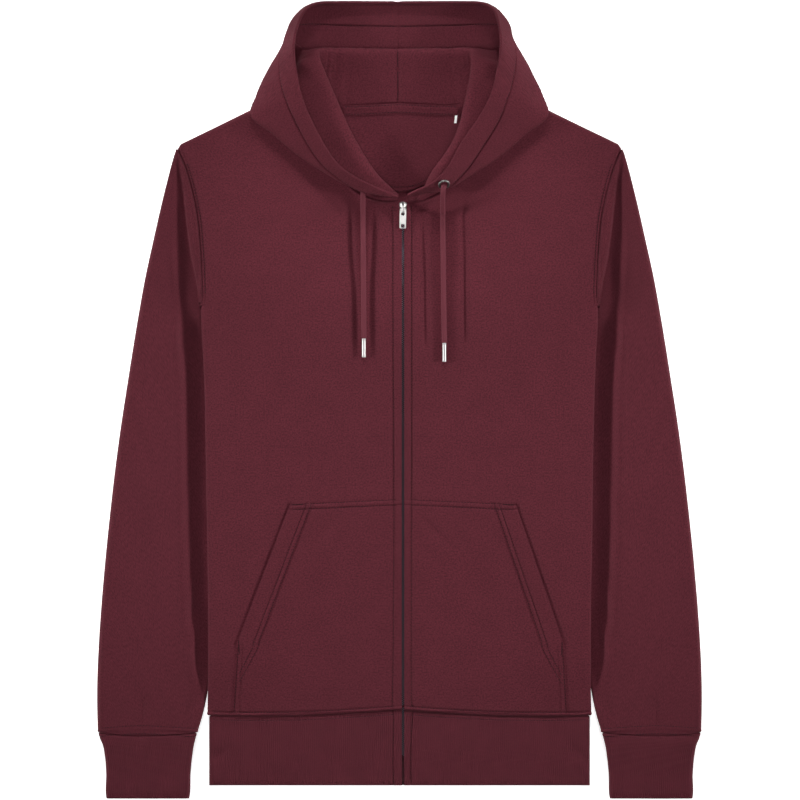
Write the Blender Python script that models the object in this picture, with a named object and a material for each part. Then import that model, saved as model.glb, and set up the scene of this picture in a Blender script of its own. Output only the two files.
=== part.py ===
"""Zip up hoodie laid flat on a surface, hood spread open, built as a maker cuts and sews it.

All sizes below are millimetres. X is across the garment, Y runs from hem to hood, Z is up out of
the surface it lies on. "Out" is the distance from the centre line, the same for both sides.
"""

import math

import bmesh
import bpy
import numpy as np
from mathutils import Vector

MM = 0.001

# Cloth
WALL = 1.6  # fleece back jersey
RIB_WALL = 2.2  # rib, folded double
HOOD_WALL = 1.6
SEAM_GAP = 0.3
HALF_LOFT = 3.25  # half the height of the flattened body
RIB_HALF_LOFT = 3.6
FOLD_STEPS = 3  # faces round a quarter fold
FOLD_CLEARANCE = 0.22  # more room between front and back along their folds

# Zip
ZIP_X = 3.6
ZIP_SLOT = 2.4  # between the two front edges
ZIP_TOP_Y = 199.0
CHAIN_WIDTH = 5.6
CHAIN_LOW = 2.3
CHAIN_HIGH = 4.4
TEETH_WIDTH = 1.6  # of the row of teeth that stands up between the front edges
TEETH_TOP = 6.2

# Neck and shoulders
UNDERARM_Y = 95.0
SHOULDER_TIP = (226.4, 255.6)  # out, y
ZIP_CORNER_SHARE = 0.4  # how far up the armhole the front row at the zip's top ends
NECK_POINT = (91.0, 324.0)
CENTRE_SEAM_X = -1.8

# Side fold of the body: y, out
SIDE_FOLD = (
    (-320.0, 196.0),
    (-296.0, 195.3),
    (-204.0, 195.3),
    (-102.0, 196.9),
    (0.0, 198.4),
    (50.0, 200.6),
    (75.0, 202.2),
    (95.0, 202.4),
)

# Armhole seam from the underarm up: out, y
ARMHOLE = (
    (202.4, 95.0),
    (201.4, 108.0),
    (201.9, 126.0),
    (202.8, 145.0),
    (204.2, 164.0),
    (206.2, 184.0),
    (209.5, 202.0),
    (214.6, 223.0),
    (220.4, 241.0),
    (226.4, 255.6),
)

# Front neckline from the zip to the neck point: out, y
FRONT_NECK = (
    (6.0, 203.4),
    (16.0, 201.8),
    (30.0, 204.4),
    (50.0, 217.6),
    (70.0, 243.6),
    (82.0, 270.4),
    (88.5, 297.0),
    (91.0, 324.0),
)

# Top edge of the back from its middle to the shoulder tip: out, y
BACK_TOP = (
    (0.0, 303.0),
    (40.0, 300.8),
    (62.0, 300.8),
    (76.0, 306.5),
    (84.0, 315.6),
    (91.0, 324.0),
    (153.5, 294.5),
    (214.5, 265.0),
    (223.4, 260.6),
    (226.4, 255.6),
)

# Places across half the back, from its side to its middle, before it is scaled to the row
BACK_INSETS = (16.0, 34.0, 58.0, 88.0, 121.2, 134.5, 147.0, 168.0, 202.0)

# Seam between body and hem band
HEM_SEAM_MIDDLE_Y = -317.0
HEM_SEAM_DIP = 6.6  # where it is lowest
HEM_SEAM_LOWEST_OUT = 142.0
HEM_OUT = 194.3
HEM_LOW_Y = -393.7

# The body rises over the sleeve that is tucked under its side, and over the folded hood
SLEEVE_LIFT = 4.75
SLEEVE_LIFT_OUT = (70.0, 171.0)
SLEEVE_LIFT_TOP = (105.0, 235.0)
SLEEVE_LIFT_LOW = (-322.0, -262.0)
HOOD_LIFT = 5.0
HOOD_LIFT_OUT = (92.0, 185.0)
HOOD_LIFT_Y = (150.0, 228.0)

# Sleeve, a row per ring: outer edge (out, y), inner edge (out, y), half height at the inner fold
# and at the outer fold, where across the sleeve the cloth starts to rise and over what width,
# how far the ring bows towards the body, and how much of the body's lift it shares
SLEEVE = (
    # out_o  y_o    out_i  y_i   half_i half_o start rise  bow  on_body
    (228.0, 255.5, 202.9, 95.0, 3.25, 3.25, 56.0, 56.0, 0.0, 1.0),
    (229.8, 250.0, 203.8, 91.0, 3.0, 3.25, 40.0, 60.0, 2.6, 0.8),
    (232.0, 242.5, 203.4, 86.5, 2.2, 3.6, 40.0, 90.0, 0.8, 0.1),
    (242.0, 203.0, 201.4, 80.0, 2.15, 4.6, 36.0, 80.0, 0.6, 0.0),
    (251.0, 163.0, 199.6, 72.5, 2.15, 5.2, 26.0, 70.0, 0.2, 0.0),
    (259.5, 124.0, 196.2, 62.5, 2.15, 5.4, 22.0, 55.0, 0.0, 0.0),
    (266.7, 84.0, 190.0, 50.5, 1.9, 5.4, 30.0, 14.0, 0.0, 0.0),
    (272.3, 50.0, 182.0, 35.0, 1.85, 5.4, 35.0, 13.0, 0.0, 0.0),
    (277.0, 20.0, 177.5, 10.0, 1.85, 5.4, 38.0, 12.0, 0.0, 0.0),
    (283.5, -22.0, 176.8, -30.0, 1.85, 5.4, 38.0, 12.0, 0.0, 0.0),
    (289.5, -66.0, 178.4, -75.0, 1.85, 5.4, 36.0, 12.0, 0.0, 0.0),
    (295.2, -115.0, 181.7, -124.0, 1.85, 5.4, 31.5, 12.0, 0.0, 0.0),
    (300.4, -166.0, 186.0, -175.0, 1.85, 5.4, 26.0, 12.0, 0.0, 0.0),
    (304.4, -213.0, 190.6, -219.0, 1.85, 5.4, 19.0, 12.0, 0.0, 0.0),
    (307.2, -256.0, 195.0, -258.0, 1.95, 5.4, 10.0, 13.0, 0.0, 0.0),
    (308.6, -296.0, 197.4, -294.0, 2.8, 5.4, 4.0, 18.0, 0.0, 0.0),
    (308.4, -322.0, 200.4, -320.0, 3.8, 5.2, 2.0, 26.0, 0.0, 0.0),
    (307.9, -339.2, 206.2, -339.7, 4.4, 5.0, 1.0, 20.0, -3.0, 0.0),
)
SLEEVE_FLAT_STEPS = 7

# Cuff, a row per ring: outer edge (out, y), inner edge (out, y), half height, bow
CUFF = (
    # out_o  y_o    out_i   y_i    half  bow
    (307.6, -340.0, 206.5, -340.5, 4.7, -3.0),
    (306.6, -344.0, 207.6, -344.0, 5.4, -2.6),
    (303.2, -352.0, 209.8, -352.0, 5.5, -1.6),
    (300.8, -364.0, 211.7, -364.0, 5.3, -0.6),
    (299.5, -382.0, 213.4, -382.0, 5.1, 0.0),
    (299.4, -405.0, 214.2, -405.0, 4.9, 0.0),
    (299.0, -407.0, 214.6, -407.0, 4.4, 0.0),
)

# Hood, a row per section from the zip round to the centre seam. Each section runs from the neck
# seam over the collar's ridge and fold, down to the valley, along to the end of the bag that lies
# under the neck, back to the outer turn and up to the rim: out, y, z of each
HOOD = (
    # neck                  ridge                 fold                  valley
    # bag                   turn                  rim
    ((4.9, 204.9, 9.7), (4.9, 205.4, 10.8), (4.9, 206.1, 11.8), (4.9, 206.8, 12.6),
     (4.9, 207.6, 13.4), (4.9, 208.4, 14.2), (4.9, 209.6, 15.4)),
    ((16.0, 203.7, 9.8), (15.6, 206.5, 13.0), (15.5, 207.8, 14.4), (15.4, 208.8, 15.6),
     (15.2, 209.8, 16.8), (15.0, 211.0, 18.4), (14.2, 213.5, 21.5)),
    ((30.0, 206.6, 10.1), (28.5, 233.0, 18.5), (32.0, 231.0, 22.0), (40.0, 223.0, 22.2),
     (44.5, 217.5, 22.0), (47.5, 214.8, 23.0), (38.0, 222.0, 29.5)),
    ((49.8, 219.9, 10.8), (43.4, 258.0, 19.5), (48.0, 257.0, 22.6), (64.0, 246.0, 20.6),
     (74.0, 238.5, 19.6), (81.0, 234.0, 21.0), (60.7, 237.5, 30.5)),
    ((69.1, 244.1, 11.0), (54.6, 281.0, 20.5), (60.0, 281.0, 23.8), (80.0, 268.0, 21.6),
     (94.0, 257.0, 17.6), (105.0, 250.0, 18.0), (76.5, 259.6, 31.0)),
    ((81.5, 272.1, 11.0), (65.3, 307.0, 21.5), (71.0, 308.0, 24.6), (96.0, 296.0, 21.4),
     (115.0, 281.0, 16.4), (129.5, 271.0, 16.6), (91.8, 289.2, 33.0)),
    ((86.8, 293.2, 10.8), (71.9, 321.8, 22.0), (80.0, 324.0, 24.8), (106.0, 314.0, 20.6),
     (130.0, 300.0, 14.6), (151.0, 288.5, 14.0), (100.0, 311.6, 34.0)),
    ((88.6, 313.2, 10.0), (78.5, 338.6, 22.0), (90.0, 341.0, 24.2), (108.0, 334.0, 16.0),
     (126.0, 322.0, 10.6), (145.5, 310.5, 10.4), (104.0, 332.0, 34.0)),
    ((87.2, 321.9, 8.6), (82.6, 350.5, 21.0), (94.0, 347.5, 22.0), (104.0, 349.0, 11.0),
     (117.0, 345.0, 7.4), (133.0, 337.0, 8.0), (106.3, 351.4, 33.0)),
    ((81.3, 315.2, 7.2), (81.6, 354.5, 19.0), (87.6, 356.0, 18.6), (95.0, 358.0, 6.4),
     (104.0, 362.0, 4.0), (117.5, 364.0, 8.0), (106.2, 366.5, 30.0)),
    ((73.2, 307.0, 6.2), (74.0, 355.5, 16.0), (77.0, 358.0, 13.6), (84.0, 346.0, 5.2),
     (92.0, 326.0, 2.1), (110.0, 384.0, 9.0), (102.0, 383.0, 24.0)),
    ((60.8, 302.7, 6.0), (64.0, 355.8, 14.5), (65.5, 358.0, 11.8), (72.0, 334.0, 4.2),
     (78.0, 288.0, 2.1), (99.5, 395.6, 8.0), (95.4, 396.5, 19.0)),
    ((47.0, 301.9, 5.9), (50.0, 356.0, 13.6), (50.5, 358.0, 10.8), (56.0, 324.0, 3.8),
     (60.0, 262.0, 2.1), (86.2, 403.2, 6.0), (83.4, 405.0, 13.5)),
    ((28.0, 302.7, 5.8), (30.0, 356.2, 12.8), (30.0, 358.0, 10.2), (33.0, 318.0, 3.6),
     (38.0, 246.0, 2.1), (62.0, 405.0, 4.0), (62.0, 406.5, 9.5)),
    ((0.2, 304.1, 5.8), (0.2, 356.2, 12.4), (0.2, 358.0, 9.8), (0.2, 316.0, 3.5),
     (0.2, 240.0, 2.1), (0.2, 405.0, 3.8), (0.2, 406.6, 7.5)),
)
HOOD_BAG_FOLD = (0, 0, 0, 0, 0, 0, 0, 0, 0, 0.15, 0.9, 1, 1, 1, 1)  # how much of a fold the bag's end is
HOOD_BAG_HALF = 1.3
# How much nearer the middle the right half's ridge and rim lie, a value per section
RIGHT_RIDGE_IN = (0, 0, -4, -8, -7, -2, 1, 5, 9, 9, 6, 3, 1, 0, 0)
RIGHT_RIM_IN = (0, 0, 5, 12, 15, 10, 7, 6, 5, 4, 2, 0, 0, 0, 0)
HOOD_STEPS = (2, 2, 2, 3, 1, 2, 3, 4)  # faces between the named lines, the first pair from neck to ridge
HOOD_SHIFT_OUT = (30.0, 50.0, 70.0)  # where the shift to the zip line ends, a value per column
HOOD_ROWS_BETWEEN = 1  # extra sections between the named ones

# Pocket corners: out, y
POCKET_TOP = {-1: (111.0, -105.5), 1: (117.8, -105.6)}
POCKET_OPENING_LOW = {-1: (166.0, -249.7), 1: (167.8, -251.4)}
POCKET_LOW = {-1: (170.6, -322.2), 1: (172.0, -322.2)}
POCKET_INNER_TOP_Y = -100.5
POCKET_PUFF = 1.6

# Back neck trim
TAPE_OUT = 56.0
TAPE_HEIGHT = 10.0
TAPE_WALL = 1.0
MOON_OUT = 62.0
MOON_LOW_Y = 213.0
LABEL_X = (56.0, 59.4)
LABEL_Y = (281.5, 289.6)

# Drawcord: where each end lies, from its eyelet to its tip
CORD_RADIUS = 2.7
TIP_RADIUS = 2.0
TIP_LENGTH = 19.4
CORD_START = 3.6  # its middle over the hood's middle surface inside the eyelet
CORD = {
    # x, y and how far the cord's middle lies over the front, after its start in the eyelet
    -1: ((-37.1, 212.2, 5.2), (-37.3, 205.0, 4.8), (-37.3, 196.0, 3.7), (-37.2, 184.0, 3.1),
         (-36.9, 130.0, 3.1), (-36.6, 92.0, 3.1), (-36.4, 62.6, 3.1)),
    1: ((44.3, 213.0, 18.0), (44.0, 206.0, 15.6), (44.0, 199.0, 10.4), (44.0, 191.0, 5.2),
        (44.1, 182.0, 3.2), (44.9, 110.0, 3.1), (45.7, 58.0, 3.1)),
}
EYELET_AT = {-1: (4.95, 1.0), 1: (4.2, 17.2)}  # counted in the hood's rows and columns
EYELET_RADIUS = 4.9
EYELET_TUBE = 1.05
EYELET_FLATNESS = 0.7

# Slider and pull tab
SLIDER_Y = (190.0, 201.6)
SLIDER_WIDTH = 8.0
SLIDER_LOW = 10.6
SLIDER_HIGH = 12.6
BRIDGE_WIDTH = 1.8
BRIDGE_TOP = 16.6
AXIS_Y = 193.5  # the tab turns about this line
AXIS_Z = 14.1
TAB_LENGTH = 20.8
TAB_WIDTH = 6.8
TAB_WALL = 1.2
TAB_END = 1.3  # from its axis to its near end
TAB_HOLE_WIDTH = 3.4
TAB_UPPER_HOLE = (-6.1, -1.2)  # from the axis
TAB_LOWER_HOLE = (-18.6, -15.1)
TAB_SLOPE = math.radians(12.5)


# ---------------------------------------------------------------- numbers and curves


def smooth(low, high, value):
    """0 below low, 1 above high, an even S between."""
    t = np.clip((np.asarray(value, float) - low) / (high - low), 0.0, 1.0)
    return t * t * (3.0 - 2.0 * t)


def cubic(values, at):
    """A smooth curve through the rows of values, read at places counted in rows."""
    values = np.asarray(values, float)
    at = np.clip(np.asarray(at, float), 0.0, len(values) - 1.0)
    left = np.minimum(at.astype(int), len(values) - 2)
    t = (at - left).reshape((-1,) + (1,) * (values.ndim - 1))
    before = values[np.maximum(left - 1, 0)]
    after = values[np.minimum(left + 2, len(values) - 1)]
    start, end = values[left], values[left + 1]
    slope_start = (end - before) * np.where(left == 0, 1.0, 0.5).reshape(t.shape)
    slope_end = (after - start) * np.where(left == len(values) - 2, 1.0, 0.5).reshape(t.shape)
    return (
        (2 * t**3 - 3 * t**2 + 1) * start
        + (t**3 - 2 * t**2 + t) * slope_start
        + (3 * t**2 - 2 * t**3) * end
        + (t**3 - t**2) * slope_end
    )


def graph(table, x):
    """The second column of a table of (x, y), read between its rows, the first column rising."""
    rows = np.asarray(table, float)
    return np.interp(x, rows[:, 0], rows[:, 1])


def along(points, distance):
    """Points at these distances along a polyline."""
    points = np.asarray(points, float)
    lengths = np.concatenate([[0.0], np.cumsum(np.linalg.norm(np.diff(points, axis=0), axis=1))])
    return np.stack([np.interp(distance, lengths, points[:, k]) for k in range(points.shape[1])], -1)


def length_of(points):
    return float(np.linalg.norm(np.diff(np.asarray(points, float), axis=0), axis=1).sum())


def finer(table, steps=6):
    """A smooth polyline through a table's rows."""
    return cubic(table, np.linspace(0, len(table) - 1, (len(table) - 1) * steps + 1))


# ---------------------------------------------------------------- meshes


def put(name, points, faces, material):
    """One closed mesh object from points in millimetres."""
    mesh = bpy.data.meshes.new(name)
    mesh.from_pydata([tuple(p) for p in np.asarray(points, float) * MM], [], [tuple(f) for f in faces])
    body = bmesh.new()
    body.from_mesh(mesh)
    if body.calc_volume(signed=True) < 0:
        bmesh.ops.reverse_faces(body, faces=body.faces)
    body.to_mesh(mesh)
    body.free()
    mesh.shade_smooth()
    mesh.materials.append(material)
    thing = bpy.data.objects.new(name, mesh)
    bpy.context.collection.objects.link(thing)
    return thing


def unit(vectors):
    return vectors / np.maximum(np.linalg.norm(vectors, axis=-1, keepdims=True), 1e-9)


def normals_of(grid, closed):
    """Unit normals of a grid of points, rows by columns."""
    if closed:
        across = np.roll(grid, -1, 1) - np.roll(grid, 1, 1)
    else:
        across = np.gradient(grid, axis=1)
    down = np.gradient(grid, axis=0)
    normal = unit(np.cross(across, down))
    normal[0], normal[-1] = unit(2 * normal[0] - normal[1]), unit(2 * normal[-1] - normal[-2])
    if not closed:
        first, last = 2 * normal[:, 0] - normal[:, 1], 2 * normal[:, -1] - normal[:, -2]
        normal[:, 0], normal[:, -1] = unit(first), unit(last)
    return normal


def wall(name, grid, thickness, material, closed=False, middle=False, flip=False):
    """Cloth of this thickness from a grid of its outer points, or of its middle surface.

    A closed grid joins its last column to its first, so it makes a tube with open ends.
    """
    grid = np.asarray(grid, float)
    rows, columns, _ = grid.shape
    normal = normals_of(grid, closed) * (-1.0 if flip else 1.0)
    outer = grid + normal * thickness / 2 if middle else grid
    inner = outer - normal * thickness
    points = np.concatenate([outer.reshape(-1, 3), inner.reshape(-1, 3)])
    half = rows * columns

    def at(row, column):
        return row * columns + column % columns

    faces = []
    spans = columns if closed else columns - 1
    for row in range(rows - 1):
        for column in range(spans):
            a, b = at(row, column), at(row, column + 1)
            c, d = at(row + 1, column + 1), at(row + 1, column)
            faces.append((a, b, c, d))
            faces.append((half + d, half + c, half + b, half + a))
    for column in range(spans):
        a, b = at(0, column), at(0, column + 1)
        faces.append((b, a, half + a, half + b))
        a, b = at(rows - 1, column), at(rows - 1, column + 1)
        faces.append((a, b, half + b, half + a))
    if not closed:
        for row in range(rows - 1):
            a, b = at(row, 0), at(row + 1, 0)
            faces.append((a, b, half + b, half + a))
            a, b = at(row, columns - 1), at(row + 1, columns - 1)
            faces.append((b, a, half + a, half + b))
    return put(name, points, faces, material)


def block(name, low, high, material, bevel=0.0):
    """A box between two corners, its edges rounded."""
    body = bmesh.new()
    bmesh.ops.create_cube(body, size=1.0)
    size = Vector(high) - Vector(low)
    middle = (Vector(high) + Vector(low)) / 2
    bmesh.ops.scale(body, vec=size * MM, verts=body.verts)
    bmesh.ops.translate(body, vec=middle * MM, verts=body.verts)
    if bevel:
        bmesh.ops.bevel(
            body, geom=body.edges[:], offset=bevel * MM, segments=2, affect="EDGES", profile=0.5
        )
    mesh = bpy.data.meshes.new(name)
    body.to_mesh(mesh)
    body.free()
    mesh.materials.append(material)
    thing = bpy.data.objects.new(name, mesh)
    bpy.context.collection.objects.link(thing)
    return thing


def boolean(thing, other, operation):
    """Join or cut with another object, which stays only as a guide."""
    other.hide_render = True
    other.display_type = "WIRE"
    step = thing.modifiers.new(operation.title(), "BOOLEAN")
    step.operation = operation
    step.object = other


def finish(name, colour, roughness, metallic=0.0):
    material = bpy.data.materials.new(name)
    material.use_nodes = True
    shader = material.node_tree.nodes["Principled BSDF"]
    shader.inputs["Base Color"].default_value = (*colour, 1.0)
    shader.inputs["Roughness"].default_value = roughness
    shader.inputs["Metallic"].default_value = metallic
    return material


# ---------------------------------------------------------------- body


def hem_seam(out):
    """The seam's y: it dips on the way out and comes up again at the side."""
    share = np.abs(out) / HEM_SEAM_LOWEST_OUT
    return HEM_SEAM_MIDDLE_Y - HEM_SEAM_DIP * np.sin(np.minimum(share, 1.6) * math.pi / 2)


HEM_SIDE_Y = float(hem_seam(HEM_OUT))


def lift(out, y):
    """How high the back's underside stands off the surface."""
    out = np.abs(out)
    over_sleeve = (
        SLEEVE_LIFT
        * smooth(*SLEEVE_LIFT_OUT, out)
        * (1.0 - smooth(*SLEEVE_LIFT_TOP, y))
        * smooth(*SLEEVE_LIFT_LOW, y)
    )
    over_hood = HOOD_LIFT * (1.0 - smooth(*HOOD_LIFT_OUT, out)) * smooth(*HOOD_LIFT_Y, y)
    return over_sleeve + over_hood


def front_top(x, y):
    """Height of the front's outer face away from its edges."""
    return lift(x, y) + 2 * HALF_LOFT + SEAM_GAP


def fold_plan(distance, radius):
    """How far in, seen from above, a point lies that is this far round a fold."""
    quarter = radius * math.pi / 2
    round_part = radius * (1.0 - np.cos(np.minimum(distance, quarter) / radius))
    return round_part + np.maximum(np.asarray(distance, float) - quarter, 0.0)


def fold_rise(distance, radius):
    """Share of the fold's half height reached this far round it."""
    return np.sin(np.minimum(np.asarray(distance, float) / radius, math.pi / 2))


def fold_stations(radius):
    """Distances round a quarter fold, from its outermost line."""
    return np.linspace(0.0, radius * math.pi / 2, FOLD_STEPS + 1)


def body_rows(lower, beside_zip, beside_neck):
    """Stations up the body's side: side seam share, armhole distance, rises of side and top."""
    arm = finer(ARMHOLE)
    arm_length = length_of(arm)
    fold = fold_stations(HALF_LOFT)
    plan = fold_plan(fold, HALF_LOFT)
    rows = []
    for share in np.linspace(0.0, 1.0, lower, endpoint=False):
        rows.append((share, 0.0, 0.0, 1.0))
    for distance, inset in zip(fold, plan):
        rows.append((1.0, inset, fold_rise(distance, HALF_LOFT), 1.0))
    corner = ZIP_CORNER_SHARE * arm_length
    above = np.linspace(corner, arm_length - plan[-1], beside_neck + 1)[:-1]
    for inset in (*np.linspace(plan[-1], corner, beside_zip + 1)[1:-1], *above):
        rows.append((1.0, inset, 1.0, 1.0))
    for distance, inset in zip(fold[::-1], plan[::-1]):
        rows.append((1.0, arm_length - inset, 1.0, fold_rise(distance, HALF_LOFT)))
    return rows, arm, arm_length


def side_point(share, arm_distance, arm):
    """The body's side edge at a station: out, y."""
    if arm_distance <= 0.0:
        y = HEM_SIDE_Y + (UNDERARM_Y - HEM_SIDE_Y) * share
        return np.array([graph(SIDE_FOLD, y), y])
    return along(arm, [arm_distance])[0]


def front_panel(name, side, material):
    """One front, from its side seam and armhole to the zip and neckline."""
    zip_out = side * ZIP_X + ZIP_SLOT / 2
    rows, arm, arm_length = body_rows(9, 3, 7)
    neck = finer(FRONT_NECK)
    neck[:, 0] = np.where(neck[:, 1] < NECK_POINT[1], neck[:, 0], NECK_POINT[0])
    neck[:, 0] += (zip_out - neck[0, 0]) * (1.0 - smooth(neck[0, 0], 30.0, neck[:, 0]))
    neck_length = length_of(neck)
    side_fold = fold_stations(HALF_LOFT)
    grid = []
    for share, arm_distance, arm_rise, top_rise in rows:
        edge = side_point(share, arm_distance, arm)
        if arm_distance <= 0.0:
            end = np.array([zip_out, HEM_SEAM_MIDDLE_Y + (UNDERARM_Y - HEM_SEAM_MIDDLE_Y) * share])
        else:
            climb = arm_distance / arm_length
            if climb < ZIP_CORNER_SHARE:
                corner_y = neck[0, 1]
                end = np.array([zip_out, UNDERARM_Y + (corner_y - UNDERARM_Y) * climb / ZIP_CORNER_SHARE])
            else:
                end = along(neck, [(climb - ZIP_CORNER_SHARE) / (1 - ZIP_CORNER_SHARE) * neck_length])[0]
        width = np.linalg.norm(end - edge)
        flat = np.array([16.0, 30.0, 46.0]) * min(1.0, width / 150.0)
        flat = np.concatenate([flat, np.linspace(flat[-1], width, 6)[1:]])
        distance = np.concatenate([side_fold, flat])
        folded = fold_plan(side_fold, HALF_LOFT)
        inset = np.concatenate([folded * (1 - arm_rise) + side_fold * arm_rise, flat])
        plan = edge + np.outer(inset / width, end - edge)
        hem_bow = hem_seam(plan[:, 0]) - np.interp(
            plan[:, 0], [zip_out, HEM_OUT], [HEM_SEAM_MIDDLE_Y, HEM_SIDE_Y]
        )
        plan[:, 1] += hem_bow * (1.0 - smooth(0.0, 0.35, share))
        shoulder_bow = graph(BACK_TOP, plan[:, 0]) - np.interp(
            plan[:, 0], [NECK_POINT[0], SHOULDER_TIP[0]], [NECK_POINT[1], SHOULDER_TIP[1]]
        )
        on_shoulder = smooth(0.72, 1.0, arm_distance / arm_length)
        plan[:, 1] += shoulder_bow * on_shoulder * (plan[:, 0] > NECK_POINT[0])
        if share == 0.0:
            plan[:, 1] += SEAM_GAP / 2
        rise = 1.0 - (1.0 - arm_rise) * (1.0 - fold_rise(distance, HALF_LOFT))
        z = lift(plan[:, 0], plan[:, 1]) + HALF_LOFT + SEAM_GAP + HALF_LOFT * rise * top_rise
        grid.append(np.column_stack([side * plan[:, 0], plan[:, 1], z]))
    return wall(name, grid, WALL, material, flip=side > 0)


def back_panel(material):
    """The back, from side seam to side seam, lying on the surface."""
    rows, arm, arm_length = body_rows(9, 3, 7)
    side_fold = fold_stations(HALF_LOFT)
    grid = []
    for share, arm_distance, arm_rise, top_rise in rows:
        edge = side_point(share, arm_distance, arm)
        half = edge[0]
        flat = np.array(BACK_INSETS) * half / BACK_INSETS[-1]
        folded = fold_plan(side_fold, HALF_LOFT)
        inset = np.concatenate([folded * (1 - arm_rise) + side_fold * arm_rise, flat])
        distance = np.concatenate([side_fold, flat])
        out = half - inset
        climb = (edge[1] - UNDERARM_Y) / (SHOULDER_TIP[1] - UNDERARM_Y)
        if arm_distance <= 0.0:
            y = np.full(len(out), edge[1])
            y += (hem_seam(out) - HEM_SIDE_Y) * (1.0 - smooth(0.0, 0.35, share))
        else:
            across = out / half * SHOULDER_TIP[0]
            y = UNDERARM_Y + (graph(BACK_TOP, across) - UNDERARM_Y) * climb
        if share == 0.0:
            y += SEAM_GAP / 2
        rise = 1.0 - (1.0 - arm_rise) * (1.0 - fold_rise(distance, HALF_LOFT))
        on_shoulder = smooth(84.0, 96.0, out)
        rise = rise * (1.0 - (1.0 - top_rise) * on_shoulder)
        z = lift(out, y) + HALF_LOFT - HALF_LOFT * rise - FOLD_CLEARANCE * (1.0 - rise)
        left = np.column_stack([-out, y, z])
        right = np.column_stack([out, y, z])[-2::-1]
        grid.append(np.concatenate([left, right]))
    return wall("back", grid, WALL, material, flip=True)


def hem_band(material):
    """The rib band: one strip from zip edge to zip edge, round the back."""
    fold = fold_stations(RIB_HALF_LOFT)
    inset = fold_plan(fold, RIB_HALF_LOFT)
    rise = fold_rise(fold, RIB_HALF_LOFT)
    flat_front = np.linspace(0.0, 1.0, 7)[1:]
    flat_back = np.linspace(1.0, -1.0, 13)[1:-1]
    line = []  # x, and height share from -1 under the back to 1 on the front
    for side in (-1, 1):
        start = HEM_OUT - inset[-1]
        zip_out = side * ZIP_X + ZIP_SLOT / 2
        half = [(side * (start + (zip_out - start) * t), 1.0) for t in flat_front[::-1]]
        half += [(side * (HEM_OUT - i), r) for i, r in zip(inset[::-1], rise[::-1])]
        half += [(side * (HEM_OUT - i), -r) for i, r in zip(inset[1:], rise[1:])]
        if side < 0:
            line = half + [(-t * start, -1.0) for t in flat_back]
        else:
            line += half[::-1]
    grid = []
    heights = (0.0, 0.06, 0.35, 0.7, 0.95, 1.0)
    for share in heights:
        row = []
        for x, high in line:
            top = hem_seam(x) - SEAM_GAP / 2
            y = top + (HEM_LOW_Y - top) * share
            pinch = 1.0 - 0.18 * (share in (0.0, 1.0))
            z = RIB_HALF_LOFT + RIB_HALF_LOFT * high * (pinch if high > 0 else 1.0)
            row.append((x, y, z))
        grid.append(row)
    return wall("hem_band", grid, RIB_WALL, material)


def pocket(name, side, material):
    """A kangaroo pocket, made from the front's own points moved out."""
    inner_out = side * ZIP_X + ZIP_SLOT / 2
    top_out, top_y = POCKET_TOP[side]
    mid_out, mid_y = POCKET_OPENING_LOW[side]
    low_out, low_y = POCKET_LOW[side]
    opening = np.linspace((top_out, top_y), (mid_out, mid_y), 7)
    side_edge = np.linspace((mid_out, mid_y), (low_out, low_y), 3)[1:]
    grid = []
    for edge_out, edge_y in (
        *opening,
        *side_edge,
    ):
        row = []
        fall = (edge_y - top_y) / (low_y - top_y)
        inner_y = POCKET_INNER_TOP_Y + (hem_seam(inner_out) + 1.3 - POCKET_INNER_TOP_Y) * fall
        for t in (0.0, 0.03, 0.09, 0.2, 0.4, 0.6, 0.8, 1.0):
            out = edge_out + (inner_out - edge_out) * t
            y = edge_y + (inner_y - edge_y) * t
            y = max(y, hem_seam(out) + 1.0)
            puff = POCKET_PUFF * math.sin(math.pi * min(fall / 0.72, 1.0)) * (1.0 - t) ** 6
            row.append((side * out, y, front_top(out, y) + SEAM_GAP + WALL + puff))
        grid.append(row)
    return wall(name, grid, WALL, material, flip=side > 0)


# ---------------------------------------------------------------- sleeves


def ring(outer, inner, half_inner, half_outer, start, rise, bow, flat_steps, line=None):
    """One closed section of a flattened tube: over the top from the inner fold, back underneath.

    It runs straight from the inner to the outer edge, or along a given line.
    """
    outer, inner = np.asarray(outer, float), np.asarray(inner, float)
    width = length_of(line) if line is not None else np.linalg.norm(outer - inner)
    fold_in = fold_stations(half_inner)
    fold_out = fold_stations(half_outer)
    inset_in = fold_plan(fold_in, half_inner)
    inset_out = fold_plan(fold_out, half_outer)
    foot = max(start, inset_in[-1] + 4.0)
    head = max(start + rise, foot + 6.0)
    marks = (inset_in[-1], foot, head, width - inset_out[-1])
    flat = np.interp(range(1, flat_steps + 1), [0, 2, 4, flat_steps + 1], marks)
    place = np.concatenate([inset_in, flat, width - inset_out[::-1]])
    share = np.concatenate(
        [fold_rise(fold_in, half_inner), np.ones(flat_steps), fold_rise(fold_out, half_outer)[::-1]]
    )
    half = half_inner + (half_outer - half_inner) * smooth(start, start + rise, place)
    half[: FOLD_STEPS + 1] = half_inner
    half[-FOLD_STEPS - 1 :] = half_outer
    step = (outer - inner) / width
    bend = np.array([step[1], -step[0]]) * (1.0 if step[1] >= 0 else -1.0)
    t = place / width
    bowed = bow * np.sin(math.pi * (1.0 - t) ** 0.8)
    if line is not None:
        plan = along(line, place)
    else:
        plan = inner + np.outer(place, step) - np.outer(bowed, bend)
    top = np.column_stack([plan, half + half * share])
    low = np.column_stack([plan, half - half * share])
    return np.concatenate([top, low[-2:0:-1]])


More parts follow.
